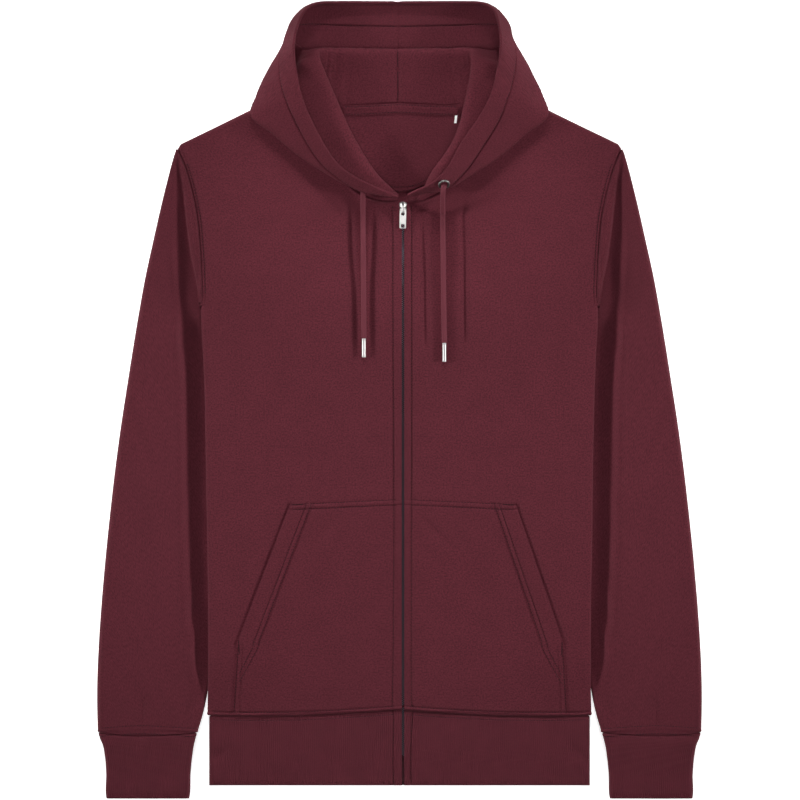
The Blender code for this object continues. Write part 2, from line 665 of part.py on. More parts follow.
def sleeve(name, side, material):
    """A set-in sleeve, from the armhole seam to the cuff seam."""
    grid = []
    seam = finer(ARMHOLE)
    for row, values in enumerate(SLEEVE):
        out_o, y_o, out_i, y_i, half_i, half_o, start, rise, bow, on_body = values
        loop = ring(
            (out_o, y_o),
            (out_i, y_i),
            half_i,
            half_o,
            start,
            rise,
            bow,
            SLEEVE_FLAT_STEPS,
            line=seam if row == 0 else None,
        )
        loop[:, 2] += on_body * lift(loop[:, 0], np.maximum(loop[:, 1], UNDERARM_Y))
        if row == 0:
            loop[:, 2] += SEAM_GAP * (loop[:, 2] > half_i)
            near_underarm = 1.0 - smooth(UNDERARM_Y, UNDERARM_Y + 22.0, loop[:, 1])
            near_tip = smooth(246.0, 255.0, loop[:, 1])
            loop[:, 0] += SEAM_GAP * (2.6 + 3.6 * near_underarm + 3.6 * near_tip)
        grid.append(loop * (side, 1.0, 1.0))
    return wall(name, grid, WALL, material, closed=True, flip=side > 0)


def cuff(name, side, material):
    """A rib cuff, folded double, open at the wrist."""
    grid = []
    for out_o, y_o, out_i, y_i, half, bow in CUFF:
        loop = ring((out_o, y_o), (out_i, y_i), half, half, 30.0, 30.0, bow, 4)
        loop[:, 2] += 5.5 - half if half < 5.0 else 0.0
        grid.append(loop * (side, 1.0, 1.0))
    return wall(name, grid, RIB_WALL, material, closed=True, flip=side > 0)


# ---------------------------------------------------------------- hood


def hood_sections(side):
    """The hood's named lines for one half, with the right half's differences."""
    table = np.array(HOOD, float)
    if side > 0:
        table[:, 1:3, 0] -= np.array(RIGHT_RIDGE_IN)[:, None]
        table[:, 6, 0] -= np.array(RIGHT_RIM_IN)
    return table


def hood_profile(lines, bag_fold):
    """One section as a smooth line through its named points."""
    neck, ridge, fold, valley, bag, turn, rim = lines
    rising = neck + (ridge - neck) * (0.5, 0.5, 0.3)
    over = bag + (0.0, 3.0, HOOD_BAG_HALF)
    under = bag + (0.0, 3.0, -HOOD_BAG_HALF)
    over = over * bag_fold + (valley * 0.3 + bag * 0.7) * (1.0 - bag_fold)
    under = under * bag_fold + (bag * 0.7 + turn * 0.3) * (1.0 - bag_fold)
    knots = np.array([neck, rising, ridge, fold, valley, over, under, turn, rim])
    gaps = np.maximum(np.linalg.norm(np.diff(knots, axis=0), axis=1), 0.3) ** 0.5
    place = np.concatenate([[0.0], np.cumsum(gaps)])
    slope = np.zeros_like(knots)
    for k in range(1, len(knots) - 1):
        before = (knots[k] - knots[k - 1]) / gaps[k - 1]
        after = (knots[k + 1] - knots[k]) / gaps[k]
        slope[k] = (before * gaps[k] + after * gaps[k - 1]) / (gaps[k] + gaps[k - 1])
    slope[0] = (knots[1] - knots[0]) / gaps[0]
    slope[-1] = (knots[-1] - knots[-2]) / gaps[-1]
    points = [knots[0]]
    for k, steps in enumerate(HOOD_STEPS):
        for t in np.linspace(0, 1, steps + 1)[1:]:
            points.append(
                (2 * t**3 - 3 * t**2 + 1) * knots[k]
                + (t**3 - 2 * t**2 + t) * slope[k] * gaps[k]
                + (3 * t**2 - 2 * t**3) * knots[k + 1]
                + (t**3 - t**2) * slope[k + 1] * gaps[k]
            )
    return np.array(points)


def hood_half(name, side, material):
    table = hood_sections(side)
    places = np.linspace(0, len(table) - 1, (len(table) - 1) * (HOOD_ROWS_BETWEEN + 1) + 1)
    bag_fold = np.interp(places, range(len(table)), HOOD_BAG_FOLD)
    grid = np.array([hood_profile(*section) for section in zip(cubic(table, places), bag_fold)])
    out = grid[:, :, 0].copy()
    back_share = smooth(8.0, 13.0, places)[:, None]
    middle = ZIP_X * (1.0 - back_share) + CENTRE_SEAM_X * back_share
    fade = np.full(grid.shape[1], HOOD_SHIFT_OUT[-1])
    fade[: len(HOOD_SHIFT_OUT)] = HOOD_SHIFT_OUT
    grid[:, :, 0] = side * out + middle * (1.0 - smooth(0.0, fade, out))
    grid[:, :, 2] = np.maximum(grid[:, :, 2], HOOD_WALL / 2)
    wall(name, grid, HOOD_WALL, material, middle=True, flip=side < 0)
    return grid, normals_of(grid, False) * -side


# ---------------------------------------------------------------- neck trim


def back_inside(x, y):
    """Height of the back's inner face."""
    return lift(x, y) + WALL


def patch_on_back(name, outs, line, low_line, gap, thickness, material):
    """A flat strip lying on the inside of the back, from one line down to another."""
    grid = []
    for share in (0.0, 0.33, 0.67, 1.0):
        row = []
        for x in outs:
            top, low = line(x), low_line(x)
            y = top + (low - top) * share
            row.append((x, y, back_inside(x, y) + gap + thickness))
        grid.append(row)
    return wall(name, grid, thickness, material, flip=True)


def neck_trim(cloth, label):
    """Half moon, neck tape and the end of a plain label inside the back neck."""

    def neck_line(x):
        return graph(BACK_TOP, abs(x)) - 1.2

    def moon_low(x):
        share = min(abs(x) / MOON_OUT, 1.0)
        return neck_line(x) - 2.0 - (neck_line(0.0) - MOON_LOW_Y) * math.sqrt(1.0 - share**2 * 0.995)

    outs = np.linspace(-MOON_OUT, MOON_OUT, 11)
    patch_on_back("neck_half_moon", outs, neck_line, moon_low, 2 * SEAM_GAP, TAPE_WALL, cloth)
    above = 3 * SEAM_GAP + TAPE_WALL
    outs = np.linspace(-TAPE_OUT, TAPE_OUT + 3.0, 13)
    patch_on_back(
        "neck_tape", outs, neck_line, lambda x: neck_line(x) - TAPE_HEIGHT, above, TAPE_WALL, cloth
    )
    outs = np.linspace(*LABEL_X, 3)
    patch_on_back(
        "label_tab", outs, lambda x: LABEL_Y[1], lambda x: LABEL_Y[0], above, 0.6, label
    )


# ---------------------------------------------------------------- zip and drawcord


def zip_parts(teeth, metal):
    """The closed chain, its slider with the bridge, and the pull tab hung on the bridge."""
    half = CHAIN_WIDTH / 2
    stations = (*np.linspace(HEM_LOW_Y + 0.5, 120.0, 6), *np.linspace(145.0, ZIP_TOP_Y, 5))
    chain = [
        [(x, y, CHAIN_HIGH + float(lift(x, y))) for x in (ZIP_X - half, ZIP_X, ZIP_X + half)]
        for y in stations
    ]
    chain = wall("zip_chain", chain, CHAIN_HIGH - CHAIN_LOW, teeth)
    half = TEETH_WIDTH / 2
    row = [
        [(x, y, TEETH_TOP + float(lift(x, y))) for x in (ZIP_X - half, ZIP_X + half)]
        for y in np.clip(stations, HEM_LOW_Y + 1.5, ZIP_TOP_Y - 1.0)
    ]
    row = wall("zip_teeth_row", row, TEETH_TOP - CHAIN_HIGH + 1.0, teeth)
    boolean(chain, row, "UNION")
    near, far = SLIDER_Y
    slider = block(
        "zip_slider",
        (ZIP_X - SLIDER_WIDTH / 2, near, SLIDER_LOW),
        (ZIP_X + SLIDER_WIDTH / 2, far, SLIDER_HIGH),
        metal,
        0.7,
    )
    bridge = block(
        "bridge",
        (ZIP_X - BRIDGE_WIDTH / 2, near + 0.2, SLIDER_LOW + 1.0),
        (ZIP_X + BRIDGE_WIDTH / 2, far - 1.2, BRIDGE_TOP),
        metal,
        0.5,
    )
    gap = block(
        "bridge_gap",
        (ZIP_X - 3.0, AXIS_Y - 1.8, SLIDER_HIGH),
        (ZIP_X + 3.0, AXIS_Y + 5.0, BRIDGE_TOP - 1.0),
        metal,
    )
    boolean(bridge, gap, "DIFFERENCE")
    boolean(slider, bridge, "UNION")

    tab = block(
        "pull_tab",
        (-TAB_WIDTH / 2, TAB_END - TAB_LENGTH, -TAB_WALL / 2),
        (TAB_WIDTH / 2, TAB_END, TAB_WALL / 2),
        metal,
        0.35,
    )
    half = TAB_HOLE_WIDTH / 2
    upper = block("tab_upper_hole", (-half, TAB_UPPER_HOLE[0], -3.0), (half, TAB_UPPER_HOLE[1], 3.0), metal)
    lower = block("tab_lower_hole", (-half, TAB_LOWER_HOLE[0], -3.0), (half, TAB_LOWER_HOLE[1], 3.0), metal)
    boolean(tab, upper, "DIFFERENCE")
    boolean(tab, lower, "DIFFERENCE")
    hinge = bpy.data.objects.new("tab_hinge", None)
    bpy.context.collection.objects.link(hinge)
    hinge.location = (ZIP_X * MM, AXIS_Y * MM, AXIS_Z * MM)
    hinge.rotation_euler = (TAB_SLOPE, 0.0, 0.0)
    for thing in (tab, upper, lower):
        thing.parent = hinge


def between(grid, row, column):
    """A grid read at a place counted in rows and columns."""
    r, c = int(row), int(column)
    low = grid[r, c] * (1 - column + c) + grid[r, c + 1] * (column - c)
    high = grid[r + 1, c] * (1 - column + c) + grid[r + 1, c + 1] * (column - c)
    return low * (1 - row + r) + high * (row - r)


def eyelet(name, place, facing, metal):
    """A pressed metal ring round the drawcord's way out."""
    body = bmesh.new()
    around, across = 16, 5
    rings = []
    for i in range(around):
        turn = 2 * math.pi * i / around
        loop = []
        for j in range(across):
            angle = 2 * math.pi * j / across
            reach = EYELET_RADIUS + EYELET_TUBE * math.cos(angle)
            height = EYELET_TUBE * EYELET_FLATNESS * math.sin(angle)
            spot = (reach * math.cos(turn), reach * math.sin(turn), height)
            loop.append(body.verts.new(Vector(spot) * MM))
        rings.append(loop)
    for i in range(around):
        for j in range(across):
            here, there = rings[i], rings[(i + 1) % around]
            k = (j + 1) % across
            body.faces.new((here[j], there[j], there[k], here[k]))
    mesh = bpy.data.meshes.new(name)
    body.to_mesh(mesh)
    body.free()
    mesh.shade_smooth()
    mesh.materials.append(metal)
    thing = bpy.data.objects.new(name, mesh)
    bpy.context.collection.objects.link(thing)
    turn = Vector((0, 0, 1)).rotation_difference(Vector(facing).normalized())
    thing.rotation_euler = turn.to_euler()
    thing.location = Vector(place) * MM
    return thing


def cord(name, side, start, material, metal):
    """A free end of the drawcord, from its eyelet, and its metal tip."""
    table = np.array(CORD[side])
    table[:, 2] += front_top(table[:, 0], table[:, 1])
    route = finer([start, *table], 12)
    distance = np.concatenate([np.linspace(0.0, 44.0, 11), np.linspace(44.0, length_of(route), 7)[1:]])
    points = along(route, distance)
    curve = bpy.data.curves.new("cord_" + name, "CURVE")
    curve.dimensions = "3D"
    curve.bevel_depth = CORD_RADIUS * MM
    curve.bevel_resolution = 2
    curve.use_fill_caps = True
    spline = curve.splines.new("POLY")
    spline.points.add(len(points) - 1)
    for spot, point in zip(spline.points, points):
        spot.co = (*(point * MM), 1.0)
    curve.materials.append(material)
    thing = bpy.data.objects.new("cord_" + name, curve)
    bpy.context.collection.objects.link(thing)

    end = points[-1]
    body = bmesh.new()
    bmesh.ops.create_cone(
        body,
        cap_ends=True,
        segments=16,
        radius1=TIP_RADIUS * MM,
        radius2=TIP_RADIUS * MM,
        depth=TIP_LENGTH * MM,
    )
    mesh = bpy.data.meshes.new("cord_tip_" + name)
    body.to_mesh(mesh)
    body.free()
    mesh.materials.append(metal)
    tip = bpy.data.objects.new("cord_tip_" + name, mesh)
    bpy.context.collection.objects.link(tip)
    tip.rotation_euler = (math.pi / 2, 0.0, 0.0)
    tip.location = Vector((end[0], end[1] - SEAM_GAP - TIP_LENGTH / 2, end[2])) * MM


def main():
    for thing in list(bpy.data.objects):
        bpy.data.objects.remove(thing, do_unlink=True)
    cloth = finish("burgundy_fleece", (0.098, 0.018, 0.027), 0.9)
    rib = finish("burgundy_rib", (0.098, 0.018, 0.027), 0.92)
    braid = finish("burgundy_cord", (0.13, 0.03, 0.045), 0.85)
    label = finish("white_label", (0.8, 0.8, 0.8), 0.8)
    teeth = finish("dark_zip", (0.02, 0.02, 0.03), 0.4, 0.8)
    metal = finish("nickel", (0.6, 0.6, 0.58), 0.3, 1.0)

    back_panel(cloth)
    hem_band(rib)
    neck_trim(cloth, label)
    zip_parts(teeth, metal)
    for side, name in ((-1, "left"), (1, "right")):
        front_panel("front_" + name, side, cloth)
        pocket("pocket_" + name, side, cloth)
        sleeve("sleeve_" + name, side, cloth)
        cuff("cuff_" + name, side, rib)
        grid, facing = hood_half("hood_" + name, side, cloth)
        place, facing = between(grid, *EYELET_AT[side]), unit(between(facing, *EYELET_AT[side]))
        stand = HOOD_WALL / 2 + SEAM_GAP + EYELET_TUBE * EYELET_FLATNESS
        eyelet("eyelet_" + name, place + facing * stand, facing, metal)
        cord(name, side, place + facing * CORD_START, braid, metal)


main()
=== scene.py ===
"""Looks of the zip up hoodie, laid flat with its hood spread open.

Lengths are millimetres until a mesh is made. X runs across, Y from hem to hood, Z up. "Out" is the
distance from the middle line, the same for both sides. Side is -1 for the left half of the picture,
1 for the right.
"""

import math

import bpy
import numpy as np
from mathutils import Matrix, Vector
from mathutils.bvhtree import BVHTree


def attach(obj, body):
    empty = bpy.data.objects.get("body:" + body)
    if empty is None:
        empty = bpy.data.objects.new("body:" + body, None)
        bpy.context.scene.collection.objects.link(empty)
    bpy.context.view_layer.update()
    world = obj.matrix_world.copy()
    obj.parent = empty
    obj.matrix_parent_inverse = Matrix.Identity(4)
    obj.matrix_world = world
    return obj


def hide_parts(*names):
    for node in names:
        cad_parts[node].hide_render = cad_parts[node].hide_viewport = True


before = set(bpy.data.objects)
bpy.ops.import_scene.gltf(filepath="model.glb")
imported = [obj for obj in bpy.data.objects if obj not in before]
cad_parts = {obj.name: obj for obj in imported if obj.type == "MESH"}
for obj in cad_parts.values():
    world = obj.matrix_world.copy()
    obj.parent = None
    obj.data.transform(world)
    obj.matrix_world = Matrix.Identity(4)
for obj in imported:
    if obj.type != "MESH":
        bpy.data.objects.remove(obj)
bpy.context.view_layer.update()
MM = 0.001
SIDES = ((-1, "left"), (1, "right"))

# Cloth
WALL = 1.6  # fleece back jersey
RIB_WALL = 2.2  # rib, folded double
HOOD_WALL = 1.6
SEAM_GAP = 0.3
HALF_LOFT = 3.25  # half the height of the flattened body
RIB_HALF_LOFT = 3.6
FOLD_CLEARANCE = 0.22  # more room between front and back along their folds

# Zip
ZIP_X = 3.6
ZIP_SLOT = 2.4  # between the two front edges
ZIP_TOP_Y = 199.0
CHAIN_LOW = 2.3
TEETH_WIDTH = 1.9  # of the row of teeth that stands up between the front edges
TEETH_TOP = 6.3

# Neck and shoulders
UNDERARM_Y = 95.0
SHOULDER_TIP = (226.4, 255.6)  # out, y
ZIP_CORNER_SHARE = 0.4  # how far up the armhole the front row at the zip's top ends
NECK_POINT = (91.0, 324.0)
CENTRE_SEAM_X = -1.8

# Side fold of the body: y, out
SIDE_FOLD = (
    (-320, 196), (-296, 195.3), (-204, 195.3), (-102, 196.9), (0, 198.4),
    (50, 200.6), (75, 202.2), (95, 202.4),
)

# Armhole seam from the underarm up: out, y
ARMHOLE = (
    (202.4, 95), (201.4, 108), (201.9, 126), (202.8, 145), (204.2, 164),
    (206.2, 184), (209.5, 202), (214.6, 223), (220.4, 241), (226.4, 255.6),
)

# Front neckline from the zip to the neck point: out, y
FRONT_NECK = (
    (6, 203.4), (16, 201.8), (30, 204.4), (50, 217.6), (70, 243.6), (82, 270.4),
    (88.5, 297), (91, 324),
)

# Top edge of the back from its middle to the shoulder tip: out, y
BACK_TOP = (
    (0, 303), (40, 300.8), (62, 300.8), (76, 306.5), (84, 315.6), (91, 324),
    (153.5, 294.5), (214.5, 265), (223.4, 260.6), (226.4, 255.6),
)

# Seam between body and hem band
HEM_SEAM_MIDDLE_Y = -317.0
HEM_SEAM_DIP = 6.6  # where it is lowest
HEM_SEAM_LOWEST_OUT = 142.0
HEM_OUT = 194.3
HEM_LOW_Y = -393.7

# The body rises over the sleeve that is tucked under its side, and over the folded hood
SLEEVE_LIFT = 4.75
SLEEVE_LIFT_OUT = (70.0, 171.0)
SLEEVE_LIFT_TOP = (105.0, 235.0)
SLEEVE_LIFT_LOW = (-322.0, -262.0)
HOOD_LIFT = 5.0
HOOD_LIFT_OUT = (92.0, 185.0)
HOOD_LIFT_Y = (150.0, 228.0)

# Sleeve, a row per ring: outer edge (out, y), inner edge (out, y), half height at the inner fold
# and at the outer fold, where across the sleeve the cloth starts to rise and over what width,
# how far the ring bows (towards the body, or at the wrist upwards), and how much of the body's
# lift it shares
SLEEVE = (
    # out_o  y_o    out_i  y_i   half_i half_o start rise  bow  on_body
    (228.0, 255.5, 202.9, 95.0, 3.25, 3.25, 56.0, 56.0, 0.0, 1.0),
    (229.8, 250.0, 202.6, 90.6, 3.0, 3.25, 40.0, 60.0, 2.6, 0.8),
    (232.0, 242.5, 201.6, 86.5, 2.2, 3.6, 40.0, 90.0, 0.8, 0.1),
    (242.0, 203.0, 200.6, 80.0, 2.15, 4.6, 36.0, 80.0, 0.6, 0.0),
    (251.0, 163.0, 199.6, 72.5, 2.15, 6.2, 26.0, 70.0, 0.2, 0.0),
    (259.5, 124.0, 196.2, 62.5, 2.15, 6.2, 22.0, 55.0, 0.0, 0.0),
    (266.7, 84.0, 190.0, 50.5, 1.9, 6.2, 30.0, 14.0, 0.0, 0.0),
    (272.3, 50.0, 182.0, 35.0, 1.85, 6.2, 35.0, 13.0, 0.0, 0.0),
    (277.0, 20.0, 177.5, 10.0, 1.85, 6.2, 38.0, 12.0, 0.0, 0.0),
    (283.5, -22.0, 176.8, -30.0, 1.85, 6.2, 38.0, 12.0, 0.0, 0.0),
    (289.5, -66.0, 178.4, -75.0, 1.85, 6.2, 36.0, 12.0, 0.0, 0.0),
    (295.2, -115.0, 181.7, -124.0, 1.85, 6.2, 31.5, 12.0, 0.0, 0.0),
    (300.4, -166.0, 186.0, -175.0, 1.85, 6.2, 26.0, 12.0, 0.0, 0.0),
    (304.4, -213.0, 190.6, -219.0, 1.85, 6.1, 19.0, 12.0, 0.0, 0.0),
    (307.2, -256.0, 194.0, -258.0, 1.95, 5.9, 10.0, 13.0, 0.0, 0.0),
    (308.6, -296.0, 195.3, -294.0, 2.8, 5.4, 4.0, 18.0, 0.0, 0.0),
    (308.4, -322.0, 200.4, -320.0, 3.8, 5.2, 2.0, 26.0, 0.0, 0.0),
    (307.9, -339.2, 206.2, -339.7, 4.4, 5.0, 1.0, 20.0, -3.0, 0.0),
)

# Cuff, a row per ring: outer edge (out, y), inner edge (out, y), half height, bow upwards
CUFF = (
    # out_o  y_o    out_i   y_i    half  bow
    (307.6, -340.0, 206.5, -340.5, 4.7, -3.0),
    (306.6, -344.0, 207.6, -344.0, 5.4, -2.6),
    (303.2, -352.0, 209.8, -352.0, 5.5, -1.6),
    (300.8, -364.0, 211.7, -364.0, 5.3, -0.6),
    (299.5, -382.0, 213.4, -382.0, 5.1, 0.0),
    (299.4, -405.0, 214.2, -405.0, 4.9, 0.0),
    (299.0, -407.0, 214.6, -407.0, 4.4, 0.0),
)

# Hood, a row per section from the zip round to the centre seam. Each section runs from the neck
# seam over the collar's ridge and fold, down to the valley, along to the end of the bag that lies
# under the neck, back to the outer turn and up to the rim: out, y, z of each
HOOD = (
    # neck                  ridge                 fold                  valley
    # bag                   turn                  rim
    ((4.9, 204.9, 9.7), (4.9, 205.4, 10.8), (4.9, 206.1, 11.8), (4.9, 206.8, 12.6),
     (4.9, 207.6, 13.4), (4.9, 208.4, 14.2), (4.9, 209.6, 15.4)),
    ((16, 203.7, 9.8), (15.6, 206.5, 13), (15.5, 207.8, 14.4), (15.4, 208.8, 15.6),
     (15.2, 209.8, 16.8), (15, 211, 18.4), (14.2, 213.5, 21.5)),
    ((30, 206.6, 10.1), (28.5, 233, 18.5), (32, 231, 22), (40, 223, 22.2),
     (44.5, 217.5, 22), (47.5, 214.8, 23), (38, 222, 29.5)),
    ((49.8, 219.9, 10.8), (43.4, 258, 19.5), (48, 257, 22.6), (64, 246, 20.6),
     (74, 238.5, 19.6), (81, 234, 21), (60.7, 237.5, 30.5)),
    ((69.1, 244.1, 11), (54.6, 281, 20.5), (60, 281, 23.8), (80, 268, 21.6),
     (94, 257, 17.6), (105, 250, 18), (76.5, 259.6, 31)),
    ((81.5, 272.1, 11), (65.3, 307, 21.5), (71, 308, 24.6), (96, 296, 21.4),
     (115, 281, 16.4), (129.5, 271, 16.6), (91.8, 289.2, 33)),
    ((86.8, 293.2, 10.8), (71.9, 321.8, 22), (80, 324, 24.8), (106, 314, 20.6),
     (130, 300, 14.6), (151, 288.5, 14), (100, 311.6, 34)),
    ((88.6, 313.2, 10), (78.5, 338.6, 22), (97, 340.5, 24), (107, 334, 12),
     (126, 322, 10.6), (145.5, 310.5, 10.4), (104, 332, 34)),
    ((87.2, 321.9, 8.6), (82.6, 350.5, 21), (94, 347.8, 21.6), (104, 347, 6.5),
     (117, 345, 7.4), (133, 337, 8), (106.3, 351.4, 33)),
    ((81.3, 315.2, 7.2), (81.6, 354.5, 19), (88, 355.8, 18.4), (98, 356, 4.6),
     (104, 362, 4), (117.5, 364, 8), (106.2, 366.5, 30)),
    ((73.2, 307, 6.2), (74, 355.5, 16), (77, 358, 13.6), (84, 346, 5.2),
     (92, 326, 2.1), (110, 384, 9), (102, 383, 24)),
    ((60.8, 302.7, 6), (64, 355.8, 14.5), (65.5, 358, 11.8), (72, 334, 4.2),
     (78, 288, 2.1), (99.5, 395.6, 8), (95.4, 396.5, 19)),
    ((47, 301.9, 5.9), (50, 356, 13.6), (50.5, 358, 10.8), (56, 324, 3.8),
     (60, 262, 2.1), (86.2, 402, 6), (83.4, 403.6, 13.5)),
    ((28, 302.7, 5.8), (30, 356.2, 12.8), (30, 358, 10.2), (33, 318, 3.6),
     (38, 246, 2.1), (62, 403.6, 4), (62, 405, 9.5)),
    ((0.2, 304.1, 5.8), (0.2, 356.2, 12.4), (0.2, 358, 9.8), (0.2, 316, 3.5),
     (0.2, 240, 2.1), (0.2, 403.6, 3.8), (0.2, 405, 7.5)),
)
# The left half's first two sections, whose ridge ends beside the zip in front of the rim
LEFT_HOOD = (
    ((4.9, 204.9, 9.7), (4.9, 209.2, 12), (4.9, 208.9, 12.7), (4.9, 208.4, 13.2),
     (4.9, 208, 13.5), (4.9, 206.6, 14.3), (4.9, 207.6, 15.4)),
    ((16, 203.7, 9.8), (15.4, 218.4, 15.4), (16, 217, 16.4), (16.4, 215, 16.4),
     (16.2, 213.4, 16.6), (15.6, 207.6, 18), (14.8, 211.6, 20)),
)
# How much of a fold the bag's end is
HOOD_BAG_FOLD = (0, 0, 0, 0, 0, 0, 0, 0, 0, 0.15, 0.9, 1, 1, 1, 1)
HOOD_BAG_HALF = 1.3
# How much nearer the middle the right half's ridge and rim lie, a value per section
RIGHT_RIDGE_IN = (0, 0, -4, -8, -7, -2, 1, 5, 9, 9, 6, 3, 1, 0, 0)
RIGHT_RIM_IN = (0, 0, 5, 12, 15, 10, 7, 6, 5, 4, 2, 0, 0, 0, 0)
HOOD_SHIFT_OUT = (30.0, 50.0, 70.0)  # where the shift to the zip line ends, from the neck up

# Pocket corners: out, y
POCKET_TOP = {-1: (111.0, -105.5), 1: (117.8, -105.6)}
POCKET_OPENING_LOW = {-1: (166.0, -249.7), 1: (167.8, -251.4)}
POCKET_LOW = {-1: (170.6, -322.2), 1: (172.0, -322.2)}
POCKET_INNER_TOP_Y = -100.5
POCKET_PUFF = 0.35
POCKET_HIGH = 1.15  # of its face over the front

# Back neck trim
TAPE_OUT = 56.0
TAPE_HEIGHT = 10.0
TAPE_WALL = 1.0
MOON_OUT = 62.0
MOON_LOW_Y = 213.0
LABEL_X = (56.6, 59.1)
LABEL_Y = (281.8, 289.8)
LABEL_SLANT = 0.9
LABEL_WALL = 0.6

# Drawcord: where each end lies, from its eyelet to its tip
CORD_RADIUS = 2.7
CORD_OVAL = 0.74  # its height over its width, pressed flat by its own weight
CORD_SINK = 1.3
CORD_START = 3.6  # its middle over the hood's middle surface inside the eyelet
CORD = {
    # x, y and how far the cord's middle lies over the front, after its start in the eyelet
    -1: ((-37.1, 212.2, 5.2), (-37.3, 205, 4.8), (-37.3, 196, 3.7), (-37.2, 184, 3.1),
         (-36.9, 130, 3.1), (-36.6, 92, 3.1), (-36.4, 62.6, 3.1)),
    1: ((44.3, 213, 18), (44, 206, 15.6), (44, 199, 10.4), (44, 191, 5.2),
        (44.1, 182, 3.2), (44.9, 110, 3.1), (45.7, 58, 3.1)),
}
EYELET_AT = {-1: (2.475, 0.5), 1: (2.1, 7.55)}  # counted in the hood's sections and knots
EYELET_RADIUS = 4.9
EYELET_TUBE = 1.05
EYELET_FLATNESS = 0.7
EYELET_LEAN = math.radians(20.0)  # how much more the ring leans to the hem than the cloth

# Slider and pull tab
SLIDER_Y = (190.0, 201.6)
SLIDER_WIDTH = 8.0
SLIDER_LOW = 10.6
SLIDER_HIGH = 12.6
AXIS_Y = 193.5  # the tab turns about this line
AXIS_Z = 14.1
TAB_LENGTH = 20.8
TAB_WIDTH = 6.8
TAB_WALL = 1.2
TAB_END = 1.3  # from its axis to its near end
TAB_HOLE_WIDTH = 3.4
TAB_UPPER_HOLE = (-6.1, -1.2)  # from the axis
TAB_LOWER_HOLE = (-18.6, -15.1)
TAB_SLOPE = math.radians(12.5)


# ---------------------------------------------------------------- numbers and curves


def smooth(low, high, value):
    """0 below low, 1 above high, an even S between."""
    t = np.clip((np.asarray(value, float) - low) / (high - low), 0.0, 1.0)
    return t * t * (3.0 - 2.0 * t)


def bell(value, half, at=0.0):
    """1 at a place, falling to nothing on both sides of it."""
    return np.exp(-(((value - at) / half) ** 2))


def spline(knots, gaps, at):
    """A smooth curve through knots this far apart, read at places counted in knots."""
    knots, gaps = np.asarray(knots, float), np.asarray(gaps, float)
    shape = (-1,) + (1,) * (knots.ndim - 1)
    chord = np.diff(knots, axis=0) / gaps.reshape(shape)
    slope = np.empty_like(knots)
    slope[0], slope[-1] = chord[0], chord[-1]
    before, after = gaps[:-1].reshape(shape), gaps[1:].reshape(shape)
    slope[1:-1] = (chord[:-1] * after + chord[1:] * before) / (before + after)
    at = np.clip(np.asarray(at, float), 0.0, len(knots) - 1.0)
    k = np.minimum(at.astype(int), len(knots) - 2)
    t, gap = (at - k).reshape(shape), gaps[k].reshape(shape)
    return (
        (2 * t**3 - 3 * t**2 + 1) * knots[k]
        + (t**3 - 2 * t**2 + t) * gap * slope[k]
        + (3 * t**2 - 2 * t**3) * knots[k + 1]
        + (t**3 - t**2) * gap * slope[k + 1]
    )


def cubic(values, at):
    values = np.asarray(values, float)
    return spline(values, np.ones(len(values) - 1), at)


def graph(table, x):
    """A table of two columns read at x, straight between its rows."""
    rows = np.asarray(table, float)
    return np.interp(x, rows[:, 0], rows[:, 1])


def lengths_of(points):
    steps = np.linalg.norm(np.diff(np.asarray(points, float), axis=0), axis=1)
    return np.concatenate([[0.0], np.cumsum(steps)])


def along(points, distance):
    """Points at these distances along a polyline."""
    points = np.asarray(points, float)
    lengths = lengths_of(points)
    return np.stack([np.interp(distance, lengths, column) for column in points.T], -1)


def finer(table, steps=6):
    return cubic(table, np.linspace(0, len(table) - 1, (len(table) - 1) * steps + 1))


def unit(vectors):
    return vectors / np.maximum(np.linalg.norm(vectors, axis=-1, keepdims=True), 1e-9)


def normals_of(grid, closed=False):
    """Unit normals of a grid of points, rows by columns."""
    if closed:
        across = np.roll(grid, -1, 1) - np.roll(grid, 1, 1)
    else:
        across = np.gradient(grid, axis=1)
    return unit(np.cross(across, np.gradient(grid, axis=0)))


def reach(x, y, line):
    """How far points lie from a polyline, how far along it, and its length."""
    near, place = np.full(np.shape(x), 1e9), np.zeros(np.shape(x))
    start = 0.0
    for (ax, ay), (bx, by) in zip(line[:-1], line[1:]):
        dx, dy = bx - ax, by - ay
        size = math.hypot(dx, dy)
        t = np.clip(((x - ax) * dx + (y - ay) * dy) / size**2, 0.0, 1.0)
        far = np.hypot(x - ax - t * dx, y - ay - t * dy)
        place = np.where(far < near, start + t * size, place)
        near = np.minimum(near, far)
        start += size
    return near, place, start


def relief(x, y, rows):
    """Height of ridges (over 0) and grooves (under 0) along lines: height, half width, fade, points."""
    total = np.zeros(np.shape(x))
    for height, half, fade, points in rows:
        line = finer(points, 4) if len(points) > 2 else np.array(points, float)
        low, high = line.min(0) - 3 * half, line.max(0) + 3 * half
        near = (x > low[0]) & (x < high[0]) & (y > low[1]) & (y < high[1])
        if near.any():
            far, place, size = reach(x[near], y[near], line)
            ends = smooth(0.0, fade, place) * smooth(0.0, fade, size - place)
            total[near] += height * bell(far, half) * ends
    return total


def rumple(x, y, cell, seed):
    """Gentle uneven cloth, from -1 to 1, its hills about a cell apart."""
    size = 64
    lattice = np.random.default_rng(seed).uniform(-1.0, 1.0, (size, size))
    u, v = np.asarray(x) / cell + 1000.0, np.asarray(y) / cell + 1000.0
    i, j = np.floor(u).astype(int), np.floor(v).astype(int)
    s, t = u - i, v - j
    s, t = s * s * (3 - 2 * s), t * t * (3 - 2 * t)
    corner = lambda a, b: lattice[(i + a) % size, (j + b) % size]
    low = corner(0, 0) * (1 - s) + corner(1, 0) * s
    high = corner(0, 1) * (1 - s) + corner(1, 1) * s
    return low * (1 - t) + high * t


# ---------------------------------------------------------------- meshes

LOWEST = 0.02  # no cloth goes under this


